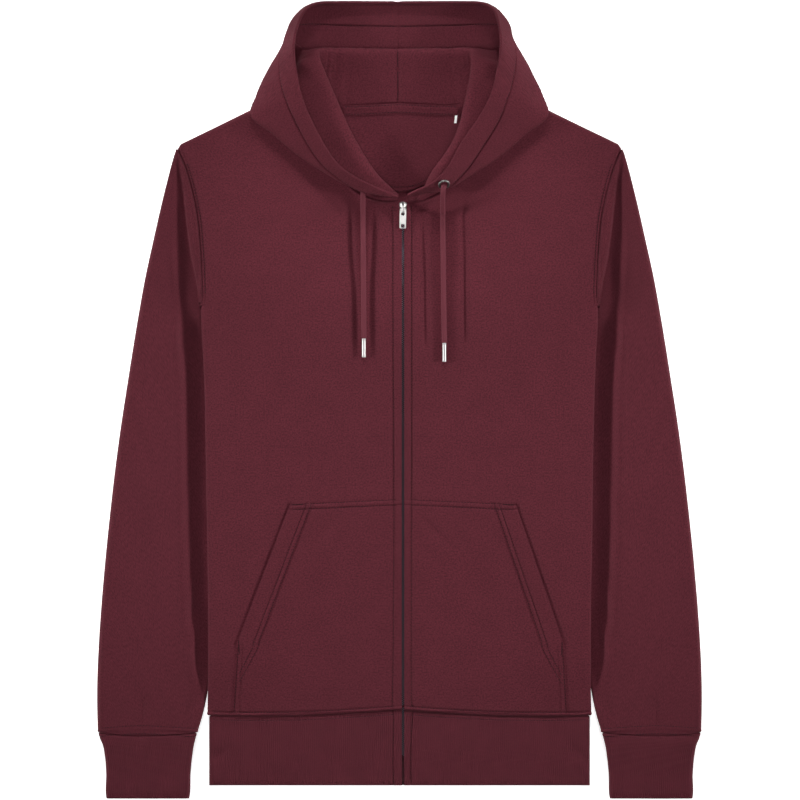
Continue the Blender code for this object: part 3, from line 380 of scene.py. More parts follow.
def linked(thing):
    bpy.context.collection.objects.link(thing)
    return thing


def mesh_of(name, points, groups, material, cloth=None, sharp=None, flat=0):
    """An object from points in millimetres and groups of faces, each an array of one face size.

    The last `flat` groups are shaded flat.
    """
    points = np.asarray(points, float)
    loops = np.concatenate([np.asarray(g).reshape(-1) for g in groups])
    sizes = np.concatenate([np.full(len(g), np.shape(g)[1]) for g in groups])
    starts = np.concatenate([[0], np.cumsum(sizes)[:-1]])
    mesh = bpy.data.meshes.new(name)
    mesh.vertices.add(len(points))
    mesh.vertices.foreach_set("co", (points * MM).astype(np.float32).ravel())
    mesh.loops.add(len(loops))
    mesh.loops.foreach_set("vertex_index", loops.astype(np.int32))
    mesh.polygons.add(len(sizes))
    mesh.polygons.foreach_set("loop_start", starts.astype(np.int32))
    smoothed = np.ones(len(sizes), bool)
    if flat:
        smoothed[-sum(len(g) for g in groups[-flat:]) :] = False
    mesh.polygons.foreach_set("use_smooth", smoothed)
    mesh.update(calc_edges=True)
    if cloth is not None:
        layer = mesh.attributes.new("cloth", "FLOAT_VECTOR", "POINT")
        data = np.zeros((len(points), 3), np.float32)
        data[:, :2] = cloth
        layer.data.foreach_set("vector", data.ravel())
    if sharp is not None:
        ends = np.empty(len(mesh.edges) * 2, np.int32)
        mesh.edges.foreach_get("vertices", ends)
        layer = mesh.attributes.new("sharp_edge", "BOOLEAN", "EDGE")
        layer.data.foreach_set("value", sharp[ends.reshape(-1, 2)].all(axis=1))
    mesh.validate()
    mesh.materials.append(material)
    return linked(bpy.data.objects.new(name, mesh))


def quads(rows, columns, closed, start=0):
    """Corners of a grid's faces."""
    r = np.arange(rows - 1)[:, None]
    c = np.arange(columns if closed else columns - 1)[None, :]
    near, far = r * columns + c, r * columns + (c + 1) % columns
    return start + np.stack([near, far, far + columns, near + columns], -1).reshape(-1, 4)


def cloth_lengths(grid, closed):
    """Where each point lies on the flat cloth, in metres: across from the first column, and down."""
    across = np.cumsum(np.linalg.norm(np.diff(grid, axis=1), axis=2), axis=1)
    across = np.concatenate([np.zeros((len(grid), 1)), across], axis=1)
    if closed:
        whole = across[:, -1:] + np.linalg.norm(grid[:, -1] - grid[:, 0], axis=1)[:, None]
        across = np.minimum(across, whole - across)
    down = np.cumsum(np.linalg.norm(np.diff(grid, axis=0), axis=2), axis=0)
    down = np.concatenate([np.zeros((1, grid.shape[1])), down], axis=0)
    return np.stack([across, down], -1) * MM


def facing_out(points, groups):
    """The faces turned over if they enclose less than nothing."""
    total = 0.0
    for g in groups:
        for k in range(1, g.shape[1] - 1):
            a, b, c = points[g[:, 0]], points[g[:, k]], points[g[:, k + 1]]
            total += np.einsum("ij,ij->", a, np.cross(b, c))
    return [g[:, ::-1] for g in groups] if total < 0 else groups


def cloth_wall(name, outer, inner, material, closed=False, coarse=3):
    """A wall of cloth from the grids of its two faces, the inner one kept with fewer points."""
    rows, columns, _ = outer.shape
    thinned = lambda count: np.unique(np.append(np.arange(0, count, coarse), count - 1))
    r = thinned(rows)
    c = np.arange(0, columns, coarse) if closed else thinned(columns)
    for grid in (outer, inner):
        grid[..., 2] = np.maximum(grid[..., 2], LOWEST)
    flat = cloth_lengths(outer, closed)
    few = np.ix_(r, c)
    points = np.concatenate([outer.reshape(-1, 3), inner[few].reshape(-1, 3)])
    cloth = np.concatenate([flat.reshape(-1, 2), flat[few].reshape(-1, 2)])
    half, few = rows * columns, len(c)
    groups = [quads(rows, columns, closed), quads(len(r), few, closed, half)[:, ::-1]]
    rims = {}

    def rim(fine, rough, turned):
        """A face between the two grids along their border, kept by its number of corners."""
        face = [*fine[::-1], *rough] if turned else [*fine, *rough[::-1]]
        rims.setdefault(len(face), []).append(face)

    ends = np.append(c, columns) if closed else c
    low = half + (len(r) - 1) * few
    for k, (a, b) in enumerate(zip(ends[:-1], ends[1:])):
        fine = np.arange(a, b + 1) % columns
        beside = (k + 1) % few
        rim(fine, [half + k, half + beside], True)
        rim((rows - 1) * columns + fine, [low + k, low + beside], False)
    if not closed:
        for k, (a, b) in enumerate(zip(r[:-1], r[1:])):
            fine = np.arange(a, b + 1) * columns
            rough = [half + k * few, half + (k + 1) * few]
            rim(fine, rough, False)
            rim(fine + columns - 1, [rough[0] + few - 1, rough[1] + few - 1], True)
    border = np.zeros((rows, columns), bool)
    border[[0, -1]] = True
    if not closed:
        border[:, [0, -1]] = True
    sharp = np.concatenate([border.ravel(), np.zeros(len(points) - half, bool)])
    groups = facing_out(points, groups + [np.array(g) for g in rims.values()])
    return mesh_of(name, points, groups, material, cloth, sharp, flat=len(rims))


def tube_mesh(name, route, radii, around, material):
    """A closed tube along a route, its radius given per ring, or per ring and place round it."""
    route = np.asarray(route, float)
    ahead = unit(np.gradient(route, axis=0))
    side = np.zeros_like(route)
    side[0] = unit(np.cross(ahead[0], (0.0, 0.3, 1.0)))
    for k in range(1, len(route)):
        side[k] = unit(side[k - 1] - ahead[k] * (side[k - 1] @ ahead[k]))
    angle = np.linspace(0, 2 * math.pi, around, endpoint=False)
    radii = np.broadcast_to(np.asarray(radii, float).reshape(len(route), -1), (len(route), around))
    turned = side[:, None] * np.cos(angle)[None, :, None]
    turned = turned + np.cross(ahead, side)[:, None] * np.sin(angle)[None, :, None]
    grid = route[:, None] + radii[..., None] * turned
    points = np.concatenate([grid.reshape(-1, 3), route[[0, -1]]])
    last = len(points) - 1
    ring = np.arange(around)
    first = np.stack([np.roll(ring, -1), ring, np.full(around, last - 1)], -1)
    ring = ring + (len(route) - 1) * around
    end = np.stack([ring, np.roll(ring, -1), np.full(around, last)], -1)
    across = np.broadcast_to(angle * radii.mean(), radii.shape)
    down = np.broadcast_to(lengths_of(route)[:, None], radii.shape)
    cloth = np.concatenate([np.stack([across, down], -1).reshape(-1, 2), np.zeros((2, 2))]) * MM
    groups = facing_out(points, [quads(len(route), around, True), np.concatenate([first, end])])
    return mesh_of(name, points, groups, material, cloth)


# ---------------------------------------------------------------- body

FOLD = 7  # faces round a quarter fold
EDGE_BAND = 9.0  # how wide close rows and columns lie beside the side fold and the hem
ZIP_BAND = 14.0  # and beside the zip
CLOSE = 0.75  # from one close column to the next
NARROW = 60.0  # a row narrower than this has its close columns nearer each other
HEM_CURVE_END = 0.35  # of the side, where the rows have lost the curve of the hem's seam
SHOULDER_CURVE_START = 0.72  # of the armhole, where they take on the shoulder's
BACK_HALF = 202.0  # the width that the back's columns are laid out on
NECK_TO_SHOULDER = (84.0, 96.0)  # out, where the back's top edge goes over from open to folded
PINCH = 0.18  # how much flatter the band is at its seam and at its fold


def hem_seam(out):
    share = np.abs(out) / HEM_SEAM_LOWEST_OUT
    return HEM_SEAM_MIDDLE_Y - HEM_SEAM_DIP * np.sin(np.minimum(share, 1.6) * math.pi / 2)


HEM_SIDE_Y = float(hem_seam(HEM_OUT))
SIDE_HEIGHT = UNDERARM_Y - HEM_SIDE_Y


def lift(out, y):
    """How high the back's underside stands off the surface."""
    out = np.abs(out)
    over_sleeve = (
        SLEEVE_LIFT
        * smooth(*SLEEVE_LIFT_OUT, out)
        * (1.0 - smooth(*SLEEVE_LIFT_TOP, y))
        * smooth(*SLEEVE_LIFT_LOW, y)
    )
    return over_sleeve + HOOD_LIFT * (1.0 - smooth(*HOOD_LIFT_OUT, out)) * smooth(*HOOD_LIFT_Y, y)


def front_top(x, y):
    return lift(x, y) + 2 * HALF_LOFT + SEAM_GAP


def fold_stations(radius):
    return np.linspace(0.0, radius * math.pi / 2, FOLD + 1)


def fold_plan(distance, radius):
    """How far in, seen from above, a point lies that is this far round a fold."""
    quarter = radius * math.pi / 2
    round_part = radius * (1.0 - np.cos(np.minimum(distance, quarter) / radius))
    return round_part + np.maximum(np.asarray(distance, float) - quarter, 0.0)


def fold_rise(distance, radius):
    return np.sin(np.minimum(np.asarray(distance, float) / radius, math.pi / 2))


BODY_FOLD = fold_stations(HALF_LOFT)
BODY_FOLD_PLAN = fold_plan(BODY_FOLD, HALF_LOFT)


def body_rows(step):
    """Rows of a front or the back from the hem up, and the armhole with its length.

    A row has its share of the side seam, its distance up the armhole, and how far the cloth there
    has risen from the side fold and from the top's fold.
    """
    arm = finer(ARMHOLE)
    arm_length = lengths_of(arm)[-1]
    near_hem = np.arange(0.0, EDGE_BAND, min(step, 0.6))
    up = np.concatenate([near_hem, np.arange(EDGE_BAND, SIDE_HEIGHT - step / 2, step)]) / SIDE_HEIGHT
    rows = [(share, 0.0, 0.0, 1.0) for share in up]
    rises = fold_rise(BODY_FOLD, HALF_LOFT)
    rows += [(1.0, inset, rise, 1.0) for inset, rise in zip(BODY_FOLD_PLAN, rises)]
    corner = ZIP_CORNER_SHARE * arm_length
    beside_zip = np.linspace(BODY_FOLD_PLAN[-1], corner, int(108 / step) + 1)[1:-1]
    beside_neck = np.linspace(corner, arm_length - BODY_FOLD_PLAN[-1], int(165 / step) + 1)[:-1]
    rows += [(1.0, inset, 1.0, 1.0) for inset in (*beside_zip, *beside_neck)]
    rows += [(1.0, arm_length - inset, 1.0, rise) for inset, rise in zip(BODY_FOLD_PLAN[::-1], rises[::-1])]
    return rows, arm, arm_length


def side_point(share, arm_distance, arm):
    if arm_distance <= 0.0:
        y = HEM_SIDE_Y + SIDE_HEIGHT * share
        return np.array([graph(SIDE_FOLD, y), y])
    return along(arm, [arm_distance])[0]


def front_neck(zip_out):
    """The front neckline, its lower end moved to the zip's edge."""
    neck = finer(FRONT_NECK, 12)
    neck[:, 0] = np.where(neck[:, 1] < NECK_POINT[1], neck[:, 0], NECK_POINT[0])
    neck[:, 0] += (zip_out - neck[0, 0]) * (1.0 - smooth(neck[0, 0], 30.0, neck[:, 0]))
    return neck


def front_end(share, climb, zip_out, neck):
    """Where a front's row ends: on the zip, or past its top on the neckline."""
    if climb <= 0.0:
        return np.array([zip_out, HEM_SEAM_MIDDLE_Y + (UNDERARM_Y - HEM_SEAM_MIDDLE_Y) * share])
    if climb < ZIP_CORNER_SHARE:
        return np.array([zip_out, UNDERARM_Y + (neck[0, 1] - UNDERARM_Y) * climb / ZIP_CORNER_SHARE])
    past = (climb - ZIP_CORNER_SHARE) / (1 - ZIP_CORNER_SHARE)
    return along(neck, [past * lengths_of(neck)[-1]])[0]


def risen(distance, arm_rise):
    """How far the cloth has come from the side fold to its full height."""
    return 1.0 - (1.0 - arm_rise) * (1.0 - fold_rise(distance, HALF_LOFT))


def front_grid(side, step=2.0):
    """The outer face of one front, from its side seam and armhole to the zip and neckline."""
    zip_out = side * ZIP_X + ZIP_SLOT / 2
    rows, arm, arm_length = body_rows(step)
    neck = front_neck(zip_out)
    grid = []
    for share, arm_distance, arm_rise, top_rise in rows:
        edge = side_point(share, arm_distance, arm)
        climb = arm_distance / arm_length
        end = front_end(share, climb, zip_out, neck)
        width = np.linalg.norm(end - edge)
        near = min(1.0, width / NARROW)
        first = BODY_FOLD[-1] + np.arange(0.7, EDGE_BAND, CLOSE) * near
        last = width - np.arange(ZIP_BAND, 0.0, -CLOSE) * near
        middle = np.linspace(first[-1], last[0], int(180 / step))[1:-1]
        inset = np.concatenate([first, middle, last, [width]])
        distance = np.concatenate([BODY_FOLD, inset])
        folded = BODY_FOLD_PLAN * (1 - arm_rise) + BODY_FOLD * arm_rise
        plan = edge + np.outer(np.concatenate([folded, inset]) / width, end - edge)
        straight = np.interp(plan[:, 0], [zip_out, HEM_OUT], [HEM_SEAM_MIDDLE_Y, HEM_SIDE_Y])
        hem_curve = hem_seam(plan[:, 0]) - straight
        plan[:, 1] += hem_curve * (1.0 - smooth(0.0, HEM_CURVE_END, share))
        straight = np.interp(plan[:, 0], *zip(NECK_POINT, SHOULDER_TIP))
        shoulder_curve = (graph(BACK_TOP, plan[:, 0]) - straight) * (plan[:, 0] > NECK_POINT[0])
        plan[:, 1] += shoulder_curve * smooth(SHOULDER_CURVE_START, 1.0, climb)
        if share == 0.0:
            plan[:, 1] += SEAM_GAP / 2
        high = HALF_LOFT * risen(distance, arm_rise) * top_rise
        z = lift(plan[:, 0], plan[:, 1]) + HALF_LOFT + SEAM_GAP + high
        grid.append(np.column_stack([side * plan[:, 0], plan[:, 1], z]))
    return np.array(grid)


def back_grid(step=4.0):
    """The outer face of the back, from side fold to side fold."""
    rows, arm, _ = body_rows(step)
    insets = np.concatenate([[10.0, 16.0], np.arange(20.0, BACK_HALF, step), [BACK_HALF]])
    grid = []
    for share, arm_distance, arm_rise, top_rise in rows:
        half, edge_y = side_point(share, arm_distance, arm)
        flat = insets * half / insets[-1]
        distance = np.concatenate([BODY_FOLD, flat])
        folded = BODY_FOLD_PLAN * (1 - arm_rise) + BODY_FOLD * arm_rise
        out = half - np.concatenate([folded, flat])
        if arm_distance <= 0.0:
            y = edge_y + (hem_seam(out) - HEM_SIDE_Y) * (1.0 - smooth(0.0, HEM_CURVE_END, share))
        else:
            climb = (edge_y - UNDERARM_Y) / (SHOULDER_TIP[1] - UNDERARM_Y)
            y = UNDERARM_Y + (graph(BACK_TOP, out / half * SHOULDER_TIP[0]) - UNDERARM_Y) * climb
        if share == 0.0:
            y = y + SEAM_GAP / 2
        rise = risen(distance, arm_rise) * (1.0 - (1.0 - top_rise) * smooth(*NECK_TO_SHOULDER, out))
        z = lift(out, y) + HALF_LOFT - HALF_LOFT * rise - FOLD_CLEARANCE * (1.0 - rise)
        left = np.column_stack([-out, y, z])
        right = np.column_stack([out, y, z])[-2::-1]
        grid.append(np.concatenate([left, right]))
    return np.array(grid)


def hem_line(step):
    """The band seen end on, from zip edge to zip edge round the back: x, and height from -1 to 1."""
    fold = fold_stations(RIB_HALF_LOFT)
    fold_outs = HEM_OUT - fold_plan(fold, RIB_HALF_LOFT)
    rise = fold_rise(fold, RIB_HALF_LOFT)
    start = fold_outs[-1]
    halves = {}
    for side in (-1, 1):
        zip_out = side * ZIP_X + ZIP_SLOT / 2
        beside_zip = zip_out + np.arange(ZIP_BAND, -0.1, -0.7)
        outs = np.concatenate([np.arange(start - step, zip_out + ZIP_BAND, -step), beside_zip])
        half = [(side * out, 1.0) for out in outs[::-1]]
        half += [(side * out, r) for out, r in zip(fold_outs[::-1], rise[::-1])]
        halves[side] = half + [(side * out, -r) for out, r in zip(fold_outs[1:], rise[1:])]
    back = [(-t * start, -1.0) for t in np.linspace(1.0, -1.0, int(2 * start / 4.0))[1:-1]]
    return np.array(halves[-1] + back + halves[1][::-1]).T


def hem_grid(step=1.6):
    """The outer face of the rib band, a row per place from its seam to its fold."""
    x, high = hem_line(step)
    top = hem_seam(x) - SEAM_GAP / 2
    depth = (top - HEM_LOW_Y).max()
    down = np.concatenate([np.arange(0.0, 7.0, 0.6), np.arange(7.0, 71.0, 1.8), np.arange(71.5, 78.0, 0.5)])
    grid = []
    for share in down / down[-1]:
        y = top + (HEM_LOW_Y - top) * share
        pinch = 1.0 - PINCH * bell(share * depth, 3.0) - PINCH * bell((1.0 - share) * depth, 2.2)
        z = RIB_HALF_LOFT + RIB_HALF_LOFT * np.where(high > 0, high * pinch, high)
        grid.append(np.column_stack([x, y, z]))
    return np.array(grid)


def pocket_grid(side, step=1.8):
    """The outer face of a kangaroo pocket, a row per place down its open edge and its side."""
    inner_out = side * ZIP_X + ZIP_SLOT / 2
    border = np.array([corner[side] for corner in (POCKET_TOP, POCKET_OPENING_LOW, POCKET_LOW)])
    size = lengths_of(border)[-1]
    (_, top_y), _, (_, low_y) = border
    down = np.concatenate(
        [np.arange(0.0, 9.0, 0.6), np.arange(9.0, size - 8.4, step), size - np.arange(8.0, -0.1, -0.5)]
    )
    close = np.concatenate([[0.0, 0.2, 0.5, 1.0, 1.5], np.arange(2.1, 24.0, 0.7)])
    grid = []
    for edge_out, edge_y in along(border, down):
        fall = (edge_y - top_y) / (low_y - top_y)
        inner_y = POCKET_INNER_TOP_Y + (hem_seam(inner_out) + 1.3 - POCKET_INNER_TOP_Y) * fall
        width = math.hypot(inner_out - edge_out, inner_y - edge_y)
        t = np.concatenate([close, np.linspace(24.0, width, int(140 / step))]) / width
        out = edge_out + (inner_out - edge_out) * t
        y = np.maximum(edge_y + (inner_y - edge_y) * t, hem_seam(out) + 1.0)
        puff = POCKET_PUFF * math.sin(math.pi * min(fall / 0.72, 1.0)) * (1.0 - t) ** 6
        grid.append(np.column_stack([side * out, y, front_top(out, y) + POCKET_HIGH + puff]))
    return np.array(grid)


# ---------------------------------------------------------------- sleeves and cuffs

SLEEVE_FLAT = 52  # points across between the two folds
CUFF_FLAT = 60
MIDDLE_COLUMN = 35  # the column that the distance between rings is measured on
CUFF_LEVEL = 5.5  # of a cuff's middle
CUFF_MOUTH_HALF = 5.0  # rings flatter than this are at the mouth, and raised to that level


def ring(outer, inner, half_inner, half_outer, start, rise, bow, flat_steps, line=None):
    """One closed section of a flattened tube: over the top from the inner fold, back underneath."""
    outer, inner = np.asarray(outer, float), np.asarray(inner, float)
    width = lengths_of(line)[-1] if line is not None else np.linalg.norm(outer - inner)
    fold_in, fold_out = fold_stations(half_inner), fold_stations(half_outer)[::-1]
    inset_in, inset_out = fold_plan(fold_in, half_inner), fold_plan(fold_out, half_outer)
    flat = np.linspace(inset_in[-1], width - inset_out[0], flat_steps + 2)[1:-1]
    place = np.concatenate([inset_in, flat, width - inset_out])
    rises = (fold_rise(fold_in, half_inner), np.ones(flat_steps), fold_rise(fold_out, half_outer))
    share = np.concatenate(rises)
    half = half_inner + (half_outer - half_inner) * smooth(start, start + rise, place)
    half[: FOLD + 1] = half_inner
    half[-FOLD - 1 :] = half_outer
    step = (outer - inner) / width
    bend = np.array([step[1], -step[0]]) * (1.0 if step[1] >= 0 else -1.0)
    bowed = bow * np.sin(math.pi * (1.0 - place / width) ** 0.8)
    if line is not None:
        plan = along(line, place)
    else:
        plan = inner + np.outer(place, step) - np.outer(bowed, bend)
    top = np.column_stack([plan, half + half * share])
    low = np.column_stack([plan, half - half * share])
    return np.concatenate([top, low[-2:0:-1]])


def through_rings(rings, step, side, before_end=()):
    """A grid through rings, its rows about a step apart, with more this far before the last ring."""
    rings = np.array(rings)
    gaps = np.linalg.norm(np.diff(rings[:, MIDDLE_COLUMN], axis=0), axis=1)
    counts = np.maximum(np.ceil(gaps / step), 5).astype(int)
    places = [k + np.arange(count) / count for k, count in enumerate(counts)]
    end = len(rings) - 1.0
    places = np.concatenate([*places, [end], end - np.array(before_end, float) / gaps[-1]])
    return spline(rings, gaps, np.sort(places)) * (side, 1.0, 1.0)


def sleeve_grid(side, step=2.0):
    rings = []
    for row, (out_o, y_o, out_i, y_i, *shape, on_body) in enumerate(SLEEVE):
        seam = finer(ARMHOLE) if row == 0 else None
        loop = ring((out_o, y_o), (out_i, y_i), *shape, SLEEVE_FLAT, line=seam)
        loop[:, 2] += on_body * lift(loop[:, 0], np.maximum(loop[:, 1], UNDERARM_Y))
        if row == 0:
            loop[:, 2] += SEAM_GAP * (loop[:, 2] > HALF_LOFT)
            near_underarm = 1.0 - smooth(UNDERARM_Y, UNDERARM_Y + 22.0, loop[:, 1])
            near_tip = smooth(246.0, 255.0, loop[:, 1])
            loop[:, 0] += SEAM_GAP * (0.8 + 0.8 * near_underarm + 3.6 * near_tip)
        rings.append(loop)
    return through_rings(rings, step, side, (2.0, 1.4, 0.8))


def cuff_grid(side, step=1.4):
    rings = []
    for out_o, y_o, out_i, y_i, half, bow in CUFF:
        loop = ring((out_o, y_o), (out_i, y_i), half, half, 0.0, 1.0, bow, CUFF_FLAT)
        loop[:, 2] += CUFF_LEVEL - half if half < CUFF_MOUTH_HALF else 0.0
        rings.append(loop)
    return through_rings(rings, step, side)


# ---------------------------------------------------------------- hood

TO_CENTRE = (8.0, 13.0)  # sections between which the middle line goes from the zip to the centre seam
RIM_ARCS = (0.0, 0.12, 0.3, 0.55, 0.9, 1.4, 2.0)  # distances from the rim
LINE_FACES = 6  # close faces on each side of the hem's line
HEM_COLUMN = len(RIM_ARCS) + 7 + LINE_FACES  # the column on the hem's line, counted from the rim


def hood_surface(side, places, knots_at):
    """The hood's middle surface, at places counted in sections and in a section's knots."""
    table = np.array(HOOD, float)
    if side < 0:
        table[: len(LEFT_HOOD)] = LEFT_HOOD
    else:
        table[:, 1:3, 0] -= np.array(RIGHT_RIDGE_IN)[:, None]
        table[:, 6, 0] -= np.array(RIGHT_RIM_IN)
    fold = np.interp(places, range(len(table)), HOOD_BAG_FOLD)
    grid = []
    for lines, bag_fold in zip(cubic(table, places), fold):
        neck, ridge, top, valley, bag, turn, rim = lines
        rising = neck + (ridge - neck) * (0.5, 0.5, 0.3)
        over = (bag + (0.0, 3.0, HOOD_BAG_HALF)) * bag_fold
        over = over + (valley * 0.3 + bag * 0.7) * (1.0 - bag_fold)
        under = (bag + (0.0, 3.0, -HOOD_BAG_HALF)) * bag_fold
        under = under + (bag * 0.7 + turn * 0.3) * (1.0 - bag_fold)
        knots = np.array([neck, rising, ridge, top, valley, over, under, turn, rim])
        gaps = np.maximum(np.linalg.norm(np.diff(knots, axis=0), axis=1), 0.3) ** 0.5
        grid.append(spline(knots, gaps, knots_at))
    grid = np.array(grid)
    out = grid[:, :, 0].copy()
    back_share = smooth(*TO_CENTRE, places)[:, None]
    middle = ZIP_X * (1.0 - back_share) + CENTRE_SEAM_X * back_share
    fade = np.interp(knots_at, [0.0, 0.5, 1.0], HOOD_SHIFT_OUT)
    grid[:, :, 0] = side * out + middle * (1.0 - smooth(0.0, fade, out))
    grid[:, :, 2] = np.maximum(grid[:, :, 2], HOOD_WALL / 2)
    return grid


def hood_arcs(size, depth):
    """Distances from the rim along a section: close together at the rim and the hem line."""
    scale = min(1.0, size / (depth + 9.0))
    depth = depth * scale
    rim = np.array(RIM_ARCS) * scale
    line = depth + np.arange(-LINE_FACES, LINE_FACES + 1) * 0.4 * scale
    between = np.linspace(rim[-1], line[0], 9)[1:-1]
    rest = line[-1] + (size - line[-1]) * np.linspace(0.0, 1.0, 101)[1:] ** 1.1
    return np.concatenate([rim, between, line, rest]), depth


def hood_eyelet(side):
    """The middle of the drawcord's way out, and the way it faces."""
    place, knot = EYELET_AT[side]
    near = np.array([-1.0, 0.0, 1.0])
    patch = hood_surface(side, place + near * 0.1, knot + near * 0.04)
    return patch[1, 1], (normals_of(patch)[1, 1] * -side)


# ---------------------------------------------------------------- materials

GRAIN = (620.0, 3.0, 0.65)  # heathered loops: scale, detail and roughness of the noise
FIBRE = (2600.0, 2.0, 0.6)  # single fibres
WALE_PITCH = 0.0011
RIB_PITCH = 0.0021
DRY = (0.82, 0.95, 0.2, 0.8)  # roughness of brushed cotton, least and most, and the noise it goes with
COTTON = {
    "Specular_IOR_Level": 0.12,
    "Sheen_Weight": 0.03,
    "Sheen_Roughness": 0.5,
    "Sheen_Tint": (0.9, 0.55, 0.6, 1.0),
}


class Nodes:
    """A material's nodes, added and linked in one call each."""

    def __init__(self, name):
        self.material = bpy.data.materials.new(name)
        self.material.use_nodes = True
        self.tree = self.material.node_tree

    def give(self, socket, value):
        """A plain value, or a link where the value comes from another node."""
        if isinstance(value, bpy.types.NodeSocket):
            self.tree.links.new(value, socket)
        else:
            socket.default_value = value

    def add(self, kind, inputs, **settings):
        node = self.tree.nodes.new("ShaderNode" + kind)
        for key, value in settings.items():
            setattr(node, key, value)
        for key, value in inputs.items():
            self.give(node.inputs[key], value)
        return node

    def maths(self, operation, *values):
        return self.add("Math", dict(enumerate(values)), operation=operation).outputs[0]

    def product(self, *values):
        total = values[0]
        for value in values[1:]:
            total = self.maths("MULTIPLY", total, value)
        return total

    def noise(self, vector, scale, detail=2.0, rough=0.5):
        inputs = {"Vector": vector, "Scale": scale, "Detail": detail, "Roughness": rough}
        return self.add("TexNoise", inputs).outputs["Fac"]

    def ramp(self, value, dark, light, low=0.3, high=0.7):
        inputs = {"Value": value, "From Min": low, "From Max": high, "To Min": dark, "To Max": light}
        return self.add("MapRange", inputs).outputs[0]

    def wave(self, value, pitch):
        """A wave from 0 to 1 that repeats every pitch metres."""
        sine = self.maths("SINE", self.maths("MULTIPLY", value, 2 * math.pi / pitch))
        return self.maths("MULTIPLY_ADD", sine, 0.5, 0.5)

    def courses(self, wale, down, lean, pitch):
        """Rows of loops down the cloth, whose legs lean towards the wales."""
        off = self.maths("ABSOLUTE", self.maths("SUBTRACT", wale, 0.5))
        return self.wave(self.maths("MULTIPLY_ADD", off, lean, down), pitch)

    def bump(self, height, distance, strength=0.8):
        inputs = {"Height": height, "Distance": distance, "Strength": strength}
        return self.add("Bump", inputs).outputs[0]

    def done(self, colour, shade, roughness, **more):
        """The material, its colour made lighter or darker by a shade from other nodes."""
        shaded = self.add("HueSaturation", {"Color": (*colour, 1.0), "Value": shade}).outputs[0]
        for key, value in {"Base_Color": shaded, "Roughness": roughness, **more}.items():
            self.give(self.tree.nodes["Principled BSDF"].inputs[key.replace("_", " ")], value)
        return self.material

    def cloth(self):
        """The place on the flat cloth in metres, as a vector and as its X and Y."""
        where = self.add("Attribute", {}, attribute_name="cloth").outputs["Vector"]
        parts = self.add("SeparateXYZ", {"Vector": where})
        return where, parts.outputs["X"], parts.outputs["Y"]


def jersey(name, colour):
    """Fleece-backed jersey: fine wales of loops, a dry heathered face, a little fuzz."""
    n = Nodes(name)
    where, across, down = n.cloth()
    wale = n.wave(across, WALE_PITCH)
    course = n.courses(wale, down, 0.0006, 0.0009)
    loops = n.product(n.maths("POWER", wale, 0.6), n.maths("MULTIPLY_ADD", course, 0.5, 0.5))
    grain, fibre = n.noise(where, *GRAIN), n.noise(where, *FIBRE)
    heather = n.maths("ADD", n.ramp(grain, 0.60, 1.40), n.ramp(fibre, -0.08, 0.08))
    cloudy = n.ramp(n.noise(where, 42.0), 0.96, 1.04)
    shade = n.product(heather, cloudy, n.ramp(loops, 0.86, 1.06, 0.0, 1.0))
    fuzz = n.maths("MULTIPLY_ADD", fibre, 0.5, n.product(grain, 0.7))
    height = n.maths("ADD", n.product(loops, 0.7), fuzz)
    return n.done(colour, shade, n.ramp(fibre, *DRY), Normal=n.bump(height, 0.00035), **COTTON)


def ribbed(name, colour):
    """One by one rib: upright cords of loops with narrow valleys between."""
    n = Nodes(name)
    where, across, down = n.cloth()
    rib = n.wave(across, RIB_PITCH)
    course = n.courses(rib, down, 0.0009, 0.0010)
    grain, fibre = n.noise(where, *GRAIN), n.noise(where, *FIBRE)
    cloudy = n.ramp(n.noise(where, 55.0), 0.95, 1.05)
    shade = n.product(n.ramp(rib, 0.85, 1.02, 0.0, 1.0), n.ramp(grain, 0.88, 1.12), cloudy)
    fuzz = n.maths("MULTIPLY_ADD", course, 0.3, n.product(fibre, 0.4))
    height = n.maths("ADD", n.product(n.maths("POWER", rib, 0.7), 1.6), fuzz)
    return n.done(colour, shade, n.ramp(fibre, *DRY), Normal=n.bump(height, 0.0004), **COTTON)


def yarn(name, colour, pitch, sheen):
    """Thread or braid: fibres twisted along its length."""
    n = Nodes(name)
    where, across, down = n.cloth()
    twist = n.wave(n.maths("ADD", across, down), pitch)
    fibre = n.noise(where, 3000.0, 2.0, 0.6)
    shade = n.product(n.ramp(twist, 0.8, 1.08, 0.0, 1.0), n.ramp(fibre, 0.88, 1.12))
    return n.done(
        colour,
        shade,
        n.ramp(fibre, 0.6, 0.8, 0.2, 0.8),
        Normal=n.bump(n.maths("MULTIPLY_ADD", fibre, 0.5, twist), 0.0002, 0.7),
        Specular_IOR_Level=0.15,
        Sheen_Weight=sheen,
        Sheen_Roughness=0.4,
        Sheen_Tint=(0.95, 0.7, 0.75, 1.0),
    )


def woven(name, colour, pitch):
    """A plain woven tape or label."""
    n = Nodes(name)
    where, across, down = n.cloth()
    weave = n.product(n.wave(across, pitch), n.wave(down, pitch))
    fibre = n.noise(where, 2400.0, 2.0, 0.6)
    shade = n.product(n.ramp(weave, 0.86, 1.04, 0.0, 1.0), n.ramp(fibre, 0.95, 1.05))
    rough = n.ramp(fibre, 0.6, 0.85, 0.2, 0.8)
    return n.done(colour, shade, rough, Normal=n.bump(weave, 0.00015), Specular_IOR_Level=0.3)


def polished(name, colour, rough, grain=2200.0):
    """Plated metal with fine rub marks and slightly dull patches."""
    n = Nodes(name)
    where = n.add("TexCoord", {}).outputs["Object"]
    marks = n.noise(where, grain, 4.0, 0.7)
    shade = n.ramp(n.noise(where, 160.0), 0.92, 1.05)
    rough = n.ramp(marks, rough * 0.7, rough * 1.4, 0.25, 0.75)
    return n.done(colour, shade, rough, Normal=n.bump(marks, 0.00004, 0.5), Metallic=1.0)


